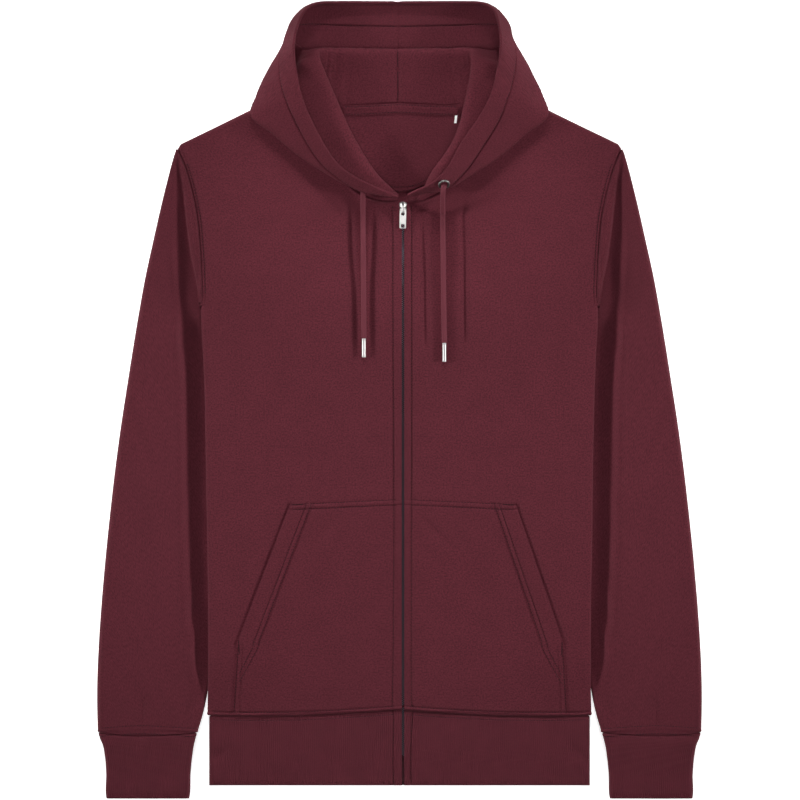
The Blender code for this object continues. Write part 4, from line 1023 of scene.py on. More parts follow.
BURGUNDY = (0.0925, 0.0158, 0.0245)
FLEECE = jersey("burgundy_jersey", BURGUNDY)
RIB = ribbed("burgundy_rib_knit", BURGUNDY)
# Thread much darker than the cloth: painted shade of the holes and grooves that the stitches sink into; the
# real thread is the cloth's burgundy
PAINTED_SHADE_THREAD = yarn("burgundy_thread_painted_shade", (0.020, 0.0036, 0.006), 0.0006, 0.0)
BRAID = yarn("burgundy_braid", (0.125, 0.024, 0.036), 0.0011, 0.04)
ZIP_TAPE = woven("burgundy_zip_tape", (0.05, 0.010, 0.016), 0.0006)
LABEL = woven("white_label_weave", (0.95, 0.95, 0.94), 0.0004)
NICKEL = polished("bright_nickel", (0.40, 0.39, 0.38), 0.32)
SATIN = polished("satin_nickel", (0.40, 0.39, 0.385), 0.45)
EYELET_METAL = polished("brushed_nickel", (0.22, 0.22, 0.21), 0.40)
GUNMETAL = polished("dark_zip_metal", (0.10, 0.105, 0.13), 0.35, 2600.0)


# ---------------------------------------------------------------- pieces, and lines laid on them

PANELS = {}  # the outer face of each panel, and whether it closes to a tube
ABOVE_ALL = 60.0  # higher than any cloth
STITCH = 3.0  # from one stitch to the next
STITCH_SHARE = 0.8
STITCH_RADIUS = 0.34
STITCH_STAND = 0.3  # of its radius over the cloth


def kept(thing, nodes=(), body="hoodie"):
    """A finished piece rides on its body and stands for its CAD nodes."""
    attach(thing, body)
    if nodes:
        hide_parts(*nodes)
    return thing


def panel(
    node, outer, inner, material=FLEECE, closed=False, coarse=3, kind="cloth", slot="burgundy_fleece"
):
    """A panel of one node as a wall, its outer face kept for what lies on it."""
    thing = cloth_wall(node + "_" + kind, outer, inner, material, closed, coarse)
    PANELS[node] = (outer, closed)
    return kept(thing, (node,))


def rib_panel(node, grid, facing, closed):
    """A rib panel with its seam allowance tucked under the cloth above it."""
    outer, facing = tucked(grid, facing)
    inner = outer - facing * RIB_WALL
    return panel(node, outer, inner, RIB, closed, kind="rib", slot="burgundy_rib")


def top_of(*nodes):
    """A tree of the outer faces of some panels, for what is laid on them from above."""
    points, faces, start = [], [], 0
    for node in nodes:
        grid, closed = PANELS[node]
        points.append(grid.reshape(-1, 3))
        faces.append(quads(*grid.shape[:2], closed, start))
        start += len(points[-1])
    return BVHTree.FromPolygons(np.concatenate(points).tolist(), np.concatenate(faces).tolist())


def laid_on(tree, plan):
    """Points of a plan line on the highest face below, and the way each faces."""
    spots, ways = np.full((len(plan), 3), np.nan), np.tile([0.0, 0.0, 1.0], (len(plan), 1))
    for k, (x, y) in enumerate(plan):
        spot, way, _, _ = tree.ray_cast(Vector((x, y, ABOVE_ALL)), Vector((0, 0, -1)))
        if spot is not None:
            spots[k] = spot
            ways[k] = way if way.z > 0 else -way
    return spots, ways


def plan_lines(tree, *lines):
    """Plan lines laid on the cloth from above."""
    made = []
    for line in lines:
        line = finer(line, 6) if len(line) > 2 else np.array(line, float)
        made.append(laid_on(tree, along(line, np.arange(0.0, lengths_of(line)[-1], 1.0))))
    return made


def flipped(side, line):
    """Places given as out and y, on one side."""
    return [(side * out, y) for out, y in line]


def bead(rings=4, around=6):
    """A stitch of half length 1 and radius 1 along X: points and faces."""
    points, faces = [(-1.0, 0.0, 0.0)], []
    for k in range(rings):
        angle = math.pi * (k + 1) / (rings + 1)
        wide = math.sin(angle) ** 0.6
        for j in range(around):
            turn = 2 * math.pi * j / around
            points.append((-math.cos(angle), wide * math.cos(turn), wide * math.sin(turn)))
    points.append((1.0, 0.0, 0.0))
    last = 1 + (rings - 1) * around
    for j in range(around):
        k = (j + 1) % around
        faces.append((0, 1 + k, 1 + j))
        for r in range(1, last, around):
            faces += [(r + j, r + k, r + around + k), (r + j, r + around + k, r + around + j)]
        faces.append((last + j, last + k, len(points) - 1))
    return np.array(points), np.array(faces)


def stitches(name, lines, length=STITCH, share=STITCH_SHARE):
    """Rows of real stitches, in thread darkened with painted shade. Each line is its points on the cloth
    and the way the cloth faces there.
    """
    shape, faces = bead()
    points, groups, cloth = [], [], []
    for spots, ways in lines:
        good = np.isfinite(spots).all(axis=1)
        spots, ways = spots[good], ways[good]
        size = lengths_of(spots)[-1]
        count = max(1, int(size / length))
        ends = (np.arange(count)[:, None] + [0.5 - share / 2, 0.5 + share / 2]) * size / count
        ways = along(np.column_stack([spots, ways]), ends.ravel())[:, 3:]
        ends = along(spots, ends.ravel())
        for a, b, way in zip(ends[::2], ends[1::2], unit(ways[::2] + ways[1::2])):
            ahead = (b - a) / 2
            half_length = np.linalg.norm(ahead)
            if half_length > length:
                continue
            across = np.cross(way, ahead / max(half_length, 1e-6))
            place = shape[:, :1] * ahead + shape[:, 1:2] * across * STITCH_RADIUS
            place = place + shape[:, 2:] * way * STITCH_RADIUS
            groups.append(faces + len(points) * len(shape))
            points.append((a + b) / 2 + way * STITCH_RADIUS * STITCH_STAND + place)
            cloth.append(shape[:, 1::-1] * (STITCH_RADIUS, half_length) * MM)
    points, groups, cloth = np.concatenate(points), [np.concatenate(groups)], np.concatenate(cloth)
    return kept(mesh_of(name, points, groups, PAINTED_SHADE_THREAD, cloth))


# ---------------------------------------------------------------- lines on the cloth

# Where the sleeve falls away from its head: out, y. Beside it: y, and how high the cloth lies or how
# wide it lies low
SLEEVE_CREASE = (
    (223.5, 240), (220.2, 216.3), (216.3, 177.3), (212.4, 144.7),
    (207.2, 118.8), (202.7, 96.7), (201, 70),
)
CREASE_LEVEL = ((60, 3.7), (145, 3.7), (200, 3.8), (225, 4.2), (245, 5.4))
BAND_WIDTH = ((40, 21), (60, 21), (101, 20.5), (152, 14), (203, 9), (239, 5))

# Creases: height, half width, fade at the ends, points
FRONT_CREASES = {
    -1: (
        (-1.3, 1.4, 6, ((-29.5, 208.3), (-14.9, 202.6), (-6, 201.4))),
        (-1.1, 1.3, 6, ((-26.3, 200.1), (-16, 197.4), (-8.5, 195.2))),
        (-1, 1.3, 5, ((-21.9, 195.4), (-14, 191.4), (-9.5, 188.2))),
        (-2.2, 2.7, 45, ((-50.4, 214), (-48.6, 150), (-44.4, 100), (-43.2, 30))),
        (-2.1, 2.7, 45, ((-25, 208), (-27.6, 150), (-29.6, 100), (-29, 30))),
    ),
    1: (
        (-1.3, 1.4, 6, ((12.8, 200.2), (24, 199.2), (33, 203))),
        (-1.1, 1.3, 5, ((19.3, 193.7), (29.7, 196.9))),
        (-2.4, 3.1, 45, ((22.4, 206), (25.8, 130), (26.8, 30))),
        (-2.4, 3.2, 45, ((64.4, 222), (66.6, 130), (67.2, 30))),
    ),
}
POCKET_CREASES = {
    -1: ((-0.7, 3, 20, ((-60, -109), (-78, -140), (-96, -160))),),
    1: ((-1.2, 3.4, 18, ((15.8, -113.8), (36, -134), (58.6, -156.6))),),
}
SLEEVE_CREASES = (
    (-1.3, 1.8, 9, ((261.8, -303), (262.2, -318), (261.6, -335))),
    (-0.7, 9, 60, ((272, -60), (284, -160), (287, -270))),
)
HEM_CREASES = (
    (-1.6, 5, 10, ((-196, -368), (-183, -362), (-170, -352))),
    (-1.6, 5, 10, ((196, -368), (184, -362), (172, -352))),
    (-0.9, 2.6, 14, ((-12.8, -330), (-22, -356), (-33.1, -388))),
)

# The stitched line beside the zip, from its top to the hem
TOPSTITCH = {
    -1: (
        (-7.3, 194.8), (-6.6, 190), (-6.7, 101.5), (-6, -20.9), (-5.7, -122.9),
        (-6.3, -245.3), (-6.9, -306.5), (-6.1, -332), (-6.7, -367.7), (-6.1, -391.5),
    ),
    1: (
        (10.9, 197), (12.3, 190), (12.3, 101.5), (12.1, -122.9), (11.9, -296.3),
        (14, -311.6), (12.9, -326.9), (11.9, -342.2), (11.3, -367.7), (11.7, -391.5),
    ),
}
# Seam between sleeve and cuff: out, y
CUFF_SEAM = ((206.0, -340.3), (228.0, -338.6), (262.0, -336.9), (285.0, -338.0), (308.0, -339.6))

# Seams and stitch rows seen in section: height, place and half width of each ridge or groove
HEM_SECTION = ((1.5, 1.9, 1.2), (-1.2, 0.0, 0.75), (-0.6, 4.4, 0.7))
MOUTH_SECTION = ((-0.9, 0.0, 1.6),)
ARMHOLE_SECTION = ((0.45, 1.6, 0.8), (-0.8, 0.0, 0.7), (-0.5, 3.3, 0.55))
NECK_SECTION = ((0.5, 1.8, 1.0), (-0.6, 0.0, 0.7))
SLEEVE_HEAD_SECTION = ((0.6, 1.7, 0.9), (-0.5, 3.4, 0.7), (-0.3, 0.0, 0.5))
WRIST_SECTION = ((1.2, 1.9, 1.2), (-1.0, 0.0, 0.75), (-0.4, 4.3, 0.6))
CUFF_SECTION = ((-0.7, 0.0, 0.8), (-0.4, 4.0, 0.6))
BAND_SECTION = ((-0.8, 0.0, 0.8),)
BAND_STITCH_SECTION = ((-0.4, 4.0, 0.6),)
POCKET_MOUTH_SECTION = ((0.5, 19.7, 1.7), (-0.6, 17.0, 0.7), (-0.6, 22.5, 0.7))
POCKET_SIDE_SECTION = ((-0.5, 1.8, 0.6), (-0.5, 7.0, 0.6))
POCKET_TOP_SECTION = ((-0.6, 1.8, 0.6), (-0.6, 7.0, 0.6), (0.3, 4.4, 1.4))
POCKET_HEM_SECTION = ((1.2, 2.4, 1.1), (-0.6, 4.7, 0.7))
MOON_SECTION = ((-0.35, 1.6, 0.6), (-0.35, 5.8, 0.6))
TAPE_TOP_SECTION = ((0.6, 3.2, 2.0), (-0.35, 1.2, 0.5))
TAPE_LOW_SECTION = ((-0.35, 1.4, 0.5),)

POCKET_HEM = (20.5, 24.0)  # from its mouth, where its folded hem ends
POCKET_HEM_STAND = 0.25
POCKET_THINNER = 0.62  # at its border

ALLOWANCE = ((6.0, 2.4), (0.9, 2.4), (0.1, 1.2))  # seam allowance: how far past the seam, how far under


def section(value, rows):
    """Height of a seam seen in section, this far from its line."""
    return sum(height * bell(value, half, at) for height, at, half in rows)


def unevenness(side, x, y):
    return 0.35 * rumple(x, y, 74.0, 3 + side) + 0.12 * rumple(x, y, 27.0, 9 + side)


def from_topstitch(side, x, y):
    line = np.array(TOPSTITCH[side])[::-1]
    return side * (x - np.interp(y, line[:, 1], line[:, 0]))


def placket(from_line, ridge, groove):
    """The raised strip between the zip and its stitched line."""
    return ridge * (1.0 - smooth(-1.4, 0.2, from_line)) - groove * bell(from_line, 0.65)


def tucked(grid, facing, way=None):
    """A grid with its seam allowance before its first row, lying under the piece that it is sewn to."""
    way = unit(grid[0] - grid[3]) if way is None else np.array(way)
    extra = [grid[0] + way * near - facing[0] * under for near, under in ALLOWANCE]
    return np.concatenate([extra, grid]), np.concatenate([facing[:1]] * len(ALLOWANCE) + [facing])


# ---------------------------------------------------------------- body, pockets and sleeves


def front_relief(side, grid):
    """Seams, channels and creases of a front, in millimetres out of the cloth."""
    x, y = grid[..., 0], grid[..., 1]
    high = relief(x, y, FRONT_CREASES[side]) + unevenness(side, x, y)
    high += placket(from_topstitch(side, x, y), 0.7, 0.55) * smooth(197.0, 191.0, y)
    from_side = graph(SIDE_FOLD, y) - side * x
    high += section(y - hem_seam(x), HEM_SECTION) * (0.25 + 0.75 * smooth(0.5, 4.0, from_side))
    mouth = flipped(side, (POCKET_TOP[side], POCKET_OPENING_LOW[side]))
    high += section(reach(x, y, mouth)[0], MOUTH_SECTION)
    above = smooth(UNDERARM_Y - 2.0, UNDERARM_Y + 8.0, y)
    high += above * section(reach(side * x, y, finer(ARMHOLE))[0], ARMHOLE_SECTION)
    return high + section(reach(side * x, y, finer(FRONT_NECK))[0], NECK_SECTION)


def front_panel(side, node):
    grid = front_grid(side)
    facing = normals_of(grid) * -side
    outer = grid + facing * front_relief(side, grid)[..., None]
    front = panel(node, outer, outer - facing * WALL)
    return front


def pocket_panel(side, node):
    """A kangaroo pocket: a hemmed slanted mouth, stitched edges, thinner at its border."""
    grid = pocket_grid(side)
    facing = normals_of(grid) * side
    x, y = grid[..., 0], grid[..., 1]
    from_edge = np.array([lengths_of(row) for row in grid])
    top, mid = POCKET_TOP[side], POCKET_OPENING_LOW[side]
    inner_top = (ZIP_X + side * ZIP_SLOT / 2, POCKET_INNER_TOP_Y)
    from_top = reach(x, y, [(side * top[0], top[1]), inner_top])[0]
    beside = smooth(mid[1] - 4.0, mid[1] + 6.0, y[:, :1])
    high = relief(x, y, POCKET_CREASES[side]) + unevenness(side, x, y)
    high += beside * section(from_edge, POCKET_MOUTH_SECTION)
    high += (1.0 - beside) * section(from_edge, POCKET_SIDE_SECTION)
    high += section(from_top, POCKET_TOP_SECTION)
    high += placket(from_topstitch(side, x, y), 0.5, 0.5)
    high += section(y - hem_seam(x), POCKET_HEM_SECTION)
    high += POCKET_HEM_STAND * (1.0 - smooth(*POCKET_HEM, from_edge)) * beside
    edge = np.minimum(np.minimum(from_edge + 2.2 * beside, from_top), from_edge + 1.0)
    high -= POCKET_THINNER * (1.0 - smooth(0.0, 3.6, edge))
    outer = grid + facing * high[..., None]
    pocket = panel(node, outer, grid - facing * (POCKET_HIGH - 0.1))


def sleeve_relief(side, grid, facing):
    """The sleeve's new heights on its upper face, its creases and the ridge above the cuff."""
    x, y, z = np.moveaxis(grid, -1, 0)
    out = side * x
    upper = smooth(0.1, 0.5, facing[..., 2])
    off = out - graph([(y, out) for out, y in SLEEVE_CREASE[::-1]], y)
    level = graph(CREASE_LEVEL, y)
    width = graph(BAND_WIDTH, y)
    fallen = level + (z - level) * smooth(width - 5.0, width + 6.0, off)
    share = upper * smooth(-0.7, 0.9, off) * smooth(248.0, 238.0, y) * smooth(40.0, 56.0, y)
    strip = smooth(0.6, -1.0, off) * smooth(-14.0, -9.0, off) * smooth(248.0, 236.0, y)
    drop = (fallen - z) * share + upper * (strip * smooth(94.0, 112.0, y)) * 0.8
    rows = [(*row[:3], flipped(side, row[3])) for row in SLEEVE_CREASES]
    bumps = relief(x, y, rows) + 0.5 * rumple(x, y, 62.0, 21 + side)
    bumps += 0.15 * rumple(x, y, 24.0, 27 + side)
    bumps += section(y - graph(CUFF_SEAM, out), WRIST_SECTION)
    seam = section(reach(out, y, finer(ARMHOLE))[0], SLEEVE_HEAD_SECTION)
    bumps += smooth(UNDERARM_Y + 2.0, UNDERARM_Y + 14.0, y) * seam
    return drop, bumps * upper


def sleeve_panel(side, node):
    grid = sleeve_grid(side)
    drop, bumps = sleeve_relief(side, grid, normals_of(grid, True) * -side)
    grid[..., 2] += drop
    facing = normals_of(grid, True) * -side
    outer, facing = tucked(grid + facing * bumps[..., None], facing, way=(-side, 0.0, 0.0))
    sleeve = panel(node, outer, outer - facing * WALL, closed=True)


def cuff_panel(side, node):
    grid = cuff_grid(side)
    facing = normals_of(grid, True) * -side
    down = np.array([lengths_of(column) for column in grid.transpose(1, 0, 2)]).T
    high = section(down, CUFF_SECTION) + 0.3 * rumple(grid[..., 0], grid[..., 1], 30.0, 71 + side)
    cuff = rib_panel(node, grid + facing * high[..., None], facing, closed=True)


def back_panel():
    grid = back_grid()
    back = panel("back", grid, grid + normals_of(grid) * WALL)


def hem_panel():
    grid = hem_grid()
    facing = normals_of(grid)
    x, y = grid[..., 0], grid[..., 1]
    down = hem_seam(x) - y
    upper = smooth(0.0, 0.4, facing[..., 2])
    high = section(down, BAND_SECTION) + section(down, BAND_STITCH_SECTION) * upper
    high += 0.35 * rumple(x, y, 34.0, 81) * upper
    high += relief(x, y, HEM_CREASES) * upper
    for side in (-1, 1):
        from_line = from_topstitch(side, x, y)
        inside = (side * (x - ZIP_X) > 0) & (from_line < 4.0)
        high += upper * inside * placket(from_line, 0.5, 0.5)
    hem = rib_panel("hem_band", grid + facing * high[..., None], facing, closed=False)


# ---------------------------------------------------------------- hood, cords and neck trim

HEM_DEPTH = {  # of the hood's drawcord hem from its rim, a value per section
    -1: (6, 9, 14, 15.3, 15.7, 16.2, 17.6, 21, 22, 22, 22, 26, 28, 28, 27),
    1: (6, 9, 16, 20.6, 23, 20.5, 18, 20.3, 21.8, 22, 22, 26, 28, 28, 27),
}
HEM_EXTRA = 1.5  # how much thicker the hood is where its hem is folded
HEM_OUTER = 0.6  # the part of that which is on the outside
HOOD_ROWS = 13  # faces between the hood's sections
RIM_ROUND = 1.5  # from the rim, where its rounding ends
HEM_GROOVE = 0.9
CENTRE_GROOVE = 0.7
SECTION_GAP = 26.0  # about what lies between two sections
HEM_STITCHES_FROM, HEM_STITCHES_TURN = 1.6, 9.4  # sections where they start and go to the inside
CORD_STEP = 0.55  # from one ring of the braid to the next
CORD_AROUND = 28
BRAID_PITCH = 4.6
BRAID_WAVE = 0.17  # how high its strands stand over the middle of their wave
BRAID_IN = 0.15  # how far that middle lies inside the cord's radius
# A cord tip's outline: distance along it, radius
TIP = (
    (0.0, 1.5), (0.05, 1.9), (0.3, 2.05), (1.6, 2.05), (1.8, 1.98), (2.1, 2.0), (9.0, 1.98),
    (17.2, 2.0), (17.5, 1.98), (17.8, 2.05), (18.9, 2.05), (19.3, 1.9), (19.4, 1.6),
)
# An eyelet in section, a domed flange that rolls over into the hole: distance from the ring's
# middle line, height
FLANGE = (
    (1.15, -0.55), (1.2, -0.2), (1.0, 0.25), (0.5, 0.55), (0.0, 0.68), (-0.5, 0.6),
    (-0.95, 0.25), (-1.1, -0.3), (-1.1, -1.6), (-0.75, -1.6), (-0.7, -0.6), (0.0, -0.55),
)


def hood_panel(side, node):
    """One half of the hood, its drawcord hem folded over at the rim, and the lines of its stitches."""
    places = np.linspace(0, len(HOOD) - 1, (len(HOOD) - 1) * HOOD_ROWS + 1)
    fine = hood_surface(side, places, np.linspace(0.0, 8.0, 321))
    fine[-1, :, 0] = CENTRE_SEAM_X
    rows, arcs, depths = [], [], []
    for place, row in zip(places, fine):
        row = row[::-1]
        depth = np.interp(place, range(len(HOOD)), HEM_DEPTH[side])
        arc, depth = hood_arcs(lengths_of(row)[-1], depth)
        rows.append(along(row, arc)[::-1])
        arcs.append(arc[::-1])
        depths.append(depth)
    grid, from_rim, depth = np.array(rows), np.array(arcs), np.array(depths)[:, None]
    outside = normals_of(grid) * -side
    hem = HEM_EXTRA * smooth(depth + 0.5, depth - 1.2, from_rim)
    round_rim = np.sqrt(1.0 - (1.0 - np.clip(from_rim / RIM_ROUND, 0.004, 1.0)) ** 2)[..., None]
    outer = grid + outside * (HOOD_WALL / 2 + hem * HEM_OUTER)[..., None]
    inner = grid - outside * (HOOD_WALL / 2 + hem * (1.0 - HEM_OUTER))[..., None]
    middle = (outer + inner) / 2
    groove = HEM_GROOVE * bell(from_rim - depth, 0.8, 0.2) * np.minimum(depth / 12.0, 1.0)
    groove = groove + CENTRE_GROOVE * bell(grid[..., 0], 0.8, CENTRE_SEAM_X) * (places > 10)[:, None]
    around = places[:, None] * SECTION_GAP
    soft = 0.35 * rumple(around, from_rim, 22.0, 41 + side)
    soft += 0.15 * rumple(around, from_rim, 9.0, 47 + side)
    soft *= smooth(0.0, 6.0, from_rim)
    outer = middle + (outer - middle) * round_rim + outside * (soft - groove)[..., None]
    inner = middle + (inner - middle) * round_rim + outside * (soft + groove)[..., None]
    hood = panel(node, outer, inner, coarse=1)
    PANELS[node + "_inside"] = (inner, False)
    column = grid.shape[1] - 1 - HEM_COLUMN
    first, last = np.searchsorted(places, HEM_STITCHES_FROM), np.searchsorted(places, HEM_STITCHES_TURN)
    outer_line = (outer[first:last, column], outside[first:last, column])
    return [outer_line, (inner[last:, column], -outside[last:, column])]


def hood_centre_stitches():
    """The centre seam, on the outside of the hood and again inside it, as far as it can be seen."""
    tree = top_of("hood_left", "hood_right", "hood_left_inside", "hood_right_inside")
    stretches = ((400.5, 384.0), (356.0, 303.5))
    lines = plan_lines(tree, *[[(CENTRE_SEAM_X, y) for y in ends] for ends in stretches])
    for spots, _ in lines:
        spots[spots[:, 2] < 1.0] = np.nan
    stitches("hood_centre_seam", lines, length=1.6, share=1.2)


def cord_pieces(side, name):
    """A free end of the drawcord as a braid, and its metal tip."""
    place, facing = hood_eyelet(side)
    table = np.array(CORD[side])
    table[:, 2] += front_top(table[:, 0], table[:, 1]) - CORD_SINK * (table[:, 2] < 4.0)
    route = finer([place + facing * CORD_START, *table], 12)
    size = lengths_of(route)[-1]
    route = along(route, np.linspace(0.0, size, int(size / CORD_STEP)))
    s = lengths_of(route)[:, None] * 2 * math.pi / BRAID_PITCH
    turn = np.linspace(0, 2 * math.pi, CORD_AROUND, endpoint=False)[None, :]
    plait = np.sin(s + 4 * turn) * np.sin(s - 4 * turn)
    oval = CORD_OVAL / np.sqrt((CORD_OVAL * np.cos(turn)) ** 2 + np.sin(turn) ** 2)
    radii = (CORD_RADIUS - BRAID_IN + BRAID_WAVE * plait) * oval
    rope = tube_mesh("cord_" + name + "_braid", route, radii, CORD_AROUND, BRAID)
    kept(rope, ("cord_" + name,))
    stations = np.array(TIP)
    spots = route[-1] + np.outer(stations[:, 0] + SEAM_GAP, (0.0, -1.0, 0.0))
    metal = tube_mesh("cord_tip_" + name + "_metal", spots, stations[:, 1], CORD_AROUND, SATIN)
    kept(metal, ("cord_tip_" + name,))


def eyelet(side, name):
    """The metal ring that the drawcord comes out of, leaning a little more than the cloth."""
    place, facing = hood_eyelet(side)
    stand = HOOD_WALL / 2 + HEM_EXTRA * HEM_OUTER + EYELET_TUBE * EYELET_FLATNESS - 0.1
    around = 48
    turn = np.linspace(0, 2 * math.pi, around + 1)[:-1]
    leaning = Matrix.Rotation(EYELET_LEAN, 3, "X")
    flat = np.array(leaning @ Vector((0, 0, 1)).rotation_difference(Vector(facing)).to_matrix())
    circle = np.column_stack([np.cos(turn), np.sin(turn), np.zeros(around)])
    grid = np.array([circle * (EYELET_RADIUS + out) + (0.0, 0.0, high) for out, high in FLANGE])
    points = (grid @ flat.T + place + facing * stand).reshape(-1, 3)
    first = np.arange(around)
    last = first + around * (len(FLANGE) - 1)
    closing = np.stack([last, np.roll(last, -1), np.roll(first, -1), first], -1)
    wrap = facing_out(points, [np.concatenate([quads(len(FLANGE), around, True), closing])])
    ring = mesh_of("eyelet_" + name + "_ring", points, wrap, EYELET_METAL)
    kept(ring, ("eyelet_" + name,))


def strip_on_back(node, outs, top, low, gap, wall=TAPE_WALL, sections=((), ()), slant=0.0, **finish):
    """A flat strip on the inside of the back, its edges rounded, grooved from its top and low edge."""
    share = np.concatenate([[0.0, 0.01, 0.03], np.linspace(0.06, 0.94, 45), [0.97, 0.99, 1.0]])[:, None]
    x = np.broadcast_to(outs, (len(share), len(outs)))
    height = np.abs(low(outs) - top(outs))
    near = np.minimum(share, 1.0 - share) * height
    rounded = wall * 0.8 * (1.0 - np.sqrt(1.0 - (1.0 - np.clip(near / 0.8, 0.0, 1.0)) ** 2))
    y = top(outs) + (low(outs) - top(outs)) * share
    base = lift(x, y) + WALL + gap
    down = share * height
    grooves = section(down, sections[0]) + section(height - down, sections[1])
    outer = np.dstack([x - slant * share, y, base + wall + grooves - rounded])
    return panel(node, outer, np.dstack([x - slant * share, y, base]), **finish)


def neck_line(x):
    return graph(BACK_TOP, np.abs(x)) - 1.2


def moon_low(x):
    """The half moon's lower edge, a part of an ellipse."""
    share = np.minimum(np.abs(x) / MOON_OUT, 1.0)
    return neck_line(x) - 2.0 - (neck_line(0.0) - MOON_LOW_Y) * np.sqrt(1.0 - share**2 * 0.995)


def neck_trim():
    """Half moon, neck tape and the end of a plain label inside the back neck."""
    outs = np.linspace(-MOON_OUT, MOON_OUT, 90)
    sections = ((), MOON_SECTION)
    moon = strip_on_back("neck_half_moon", outs, neck_line, moon_low, 2 * SEAM_GAP, sections=sections)
    above = 3 * SEAM_GAP + TAPE_WALL
    outs = np.linspace(-TAPE_OUT, TAPE_OUT + 3.0, 90)
    tape_low = lambda x: neck_line(x) - TAPE_HEIGHT
    sections = (TAPE_TOP_SECTION, TAPE_LOW_SECTION)
    tape = strip_on_back("neck_tape", outs, neck_line, tape_low, above, sections=sections)
    low, high = (lambda x, y=y: y + 0.0 * x for y in LABEL_Y)
    strip_on_back("label_tab", np.linspace(*LABEL_X, 9), high, low, above, LABEL_WALL, slant=LABEL_SLANT,
                  material=LABEL, kind="weave", slot="white_label")
    plan = np.linspace(-TAPE_OUT, TAPE_OUT + 2.0, 200)
    rows = [list(zip(plan, neck_line(plan) - down)) for down in (1.2, TAPE_HEIGHT - 1.4)]
    lines = plan_lines(top_of("neck_tape"), *rows)
    plan = np.linspace(-34.0, 34.0, 80)
    rows = [list(zip(plan, moon_low(plan) + at)) for _, at, _ in MOON_SECTION]
    stitches("neck_stitches", lines + plan_lines(top_of("neck_half_moon"), *rows))


# ---------------------------------------------------------------- zip

TEETH_LOW_Y = -363.0
TOOTH_PITCH = 1.05
# A tooth's levels: z under its top, half width, half length
TOOTH = ((-2.4, TEETH_WIDTH / 2, 0.42), (-0.3, TEETH_WIDTH / 2, 0.42), (0.0, TEETH_WIDTH / 2 - 0.2, 0.3))
TAPE_OUTS = (0.05, 0.6, 1.3, 4.0, 8.0, 12.0)  # places across half the zip's tape
SLIDER_EDGE = 1.55  # its thickness at its border
SLIDER_CROWN = 0.35  # how much higher its middle is
SLIDER_ROUNDING = 0.7  # how far its long edges fall
SLIDER_LOW_WIDTH = 0.80  # the share of its width that its low end has
HORN_HEIGHT = 1.5
HORN_PLACE = (0.24, 0.68)  # half width and place across the half slider
BRIDGE_RADIUS = 0.78
TAB_BEVEL = 0.28
TAB_TURN = math.radians(-1.0)


def zip_teeth():
    """Teeth that stand up between the front edges, by turns a little to each side."""
    tooth = [(a * x, b * t, z) for z, x, t in TOOTH for a, b in ((-1, -1), (1, -1), (1, 1), (-1, 1))]
    tooth = np.array(tooth) * (0.5, 1.0, 1.0)
    faces = [(0, 3, 2, 1), (8, 9, 10, 11)]
    for k in (0, 4):
        faces += [(k + j, k + (j + 1) % 4, k + 4 + (j + 1) % 4, k + 4 + j) for j in range(4)]
    points, groups = [], []
    for k, at in enumerate(np.arange(TEETH_LOW_Y, SLIDER_Y[1] - 3.0, TOOTH_PITCH)):
        shift = -0.6 if k % 2 else 0.6
        points.append(tooth + (ZIP_X + shift, at, TEETH_TOP + float(lift(ZIP_X, at))))
        groups.append(np.array(faces) + len(tooth) * k)
    teeth = mesh_of("zip_chain_teeth", np.concatenate(points), [np.concatenate(groups)], GUNMETAL)
    kept(teeth, ("zip_chain",))
    teeth.data.shade_flat()


def zip_tape(side, name):
    rows = []
    for at in np.linspace(HEM_LOW_Y + 0.5, ZIP_TOP_Y, 200):
        z = CHAIN_LOW + 0.9 + float(lift(ZIP_X, at))
        rows.append([(ZIP_X + side * out, at, z) for out in TAPE_OUTS])
    grid = np.array(rows)
    tape = cloth_wall("zip_tape_" + name, grid, grid - (0.0, 0.0, 0.7), ZIP_TAPE, coarse=4)
    kept(tape)


def zip_slider():
    """The slider's upper plate, wider and with two horns towards its top."""
    near, far = SLIDER_Y
    x = np.linspace(-1.0, 1.0, 25)
    crown = SLIDER_CROWN * np.sqrt(np.clip(1.0 - x**2, 0.0, 1.0)) ** 0.5
    rounded = SLIDER_ROUNDING * (1.0 - np.sqrt(np.clip(1.0 - x**6, 0.0, 1.0)))
    rows = []
    for share in np.linspace(0.0, 1.0, 25):
        ends = math.sqrt(max(1.0 - (abs(share - 0.5) * 2) ** 10, 0.06))
        wider = (1.0 - SLIDER_LOW_WIDTH) * float(smooth(0.35, 0.75, share))
        half = SLIDER_WIDTH / 2 * (SLIDER_LOW_WIDTH + wider) * ends
        at_horn = float(smooth(0.42, 0.6, share) * smooth(1.0, 0.86, share))
        horn = HORN_HEIGHT * bell(np.abs(x), *HORN_PLACE) * at_horn
        z = SLIDER_LOW + SLIDER_EDGE + horn + crown - rounded
        rows.append(np.column_stack([ZIP_X + x * half, np.full(25, near + (far - near) * share), z]))
    grid = np.array(rows)
    under = grid.copy()
    under[..., 2] = SLIDER_LOW
    kept(cloth_wall("zip_slider_body", grid, under, NICKEL, coarse=1), ("zip_slider",))


def zip_bridge():
    """The slider's bridge, an arched rod that the pull tab hangs on."""
    near, far = SLIDER_Y
    foot = SLIDER_HIGH - 0.6
    arch = ((far - 1.2, foot), (far - 1.4, 14.2), (far - 2.6, 15.9), (far - 5.0, 16.4),
            (near + 2.2, 16.4), (near + 1.0, 15.5), (near + 0.7, 13.8), (near + 0.8, foot))
    route = finer([(ZIP_X, y, z) for y, z in arch], 8)
    route = along(route, np.linspace(0, lengths_of(route)[-1], 40))
    kept(tube_mesh("zip_slider_bridge", route, np.full(40, BRIDGE_RADIUS), 20, NICKEL))


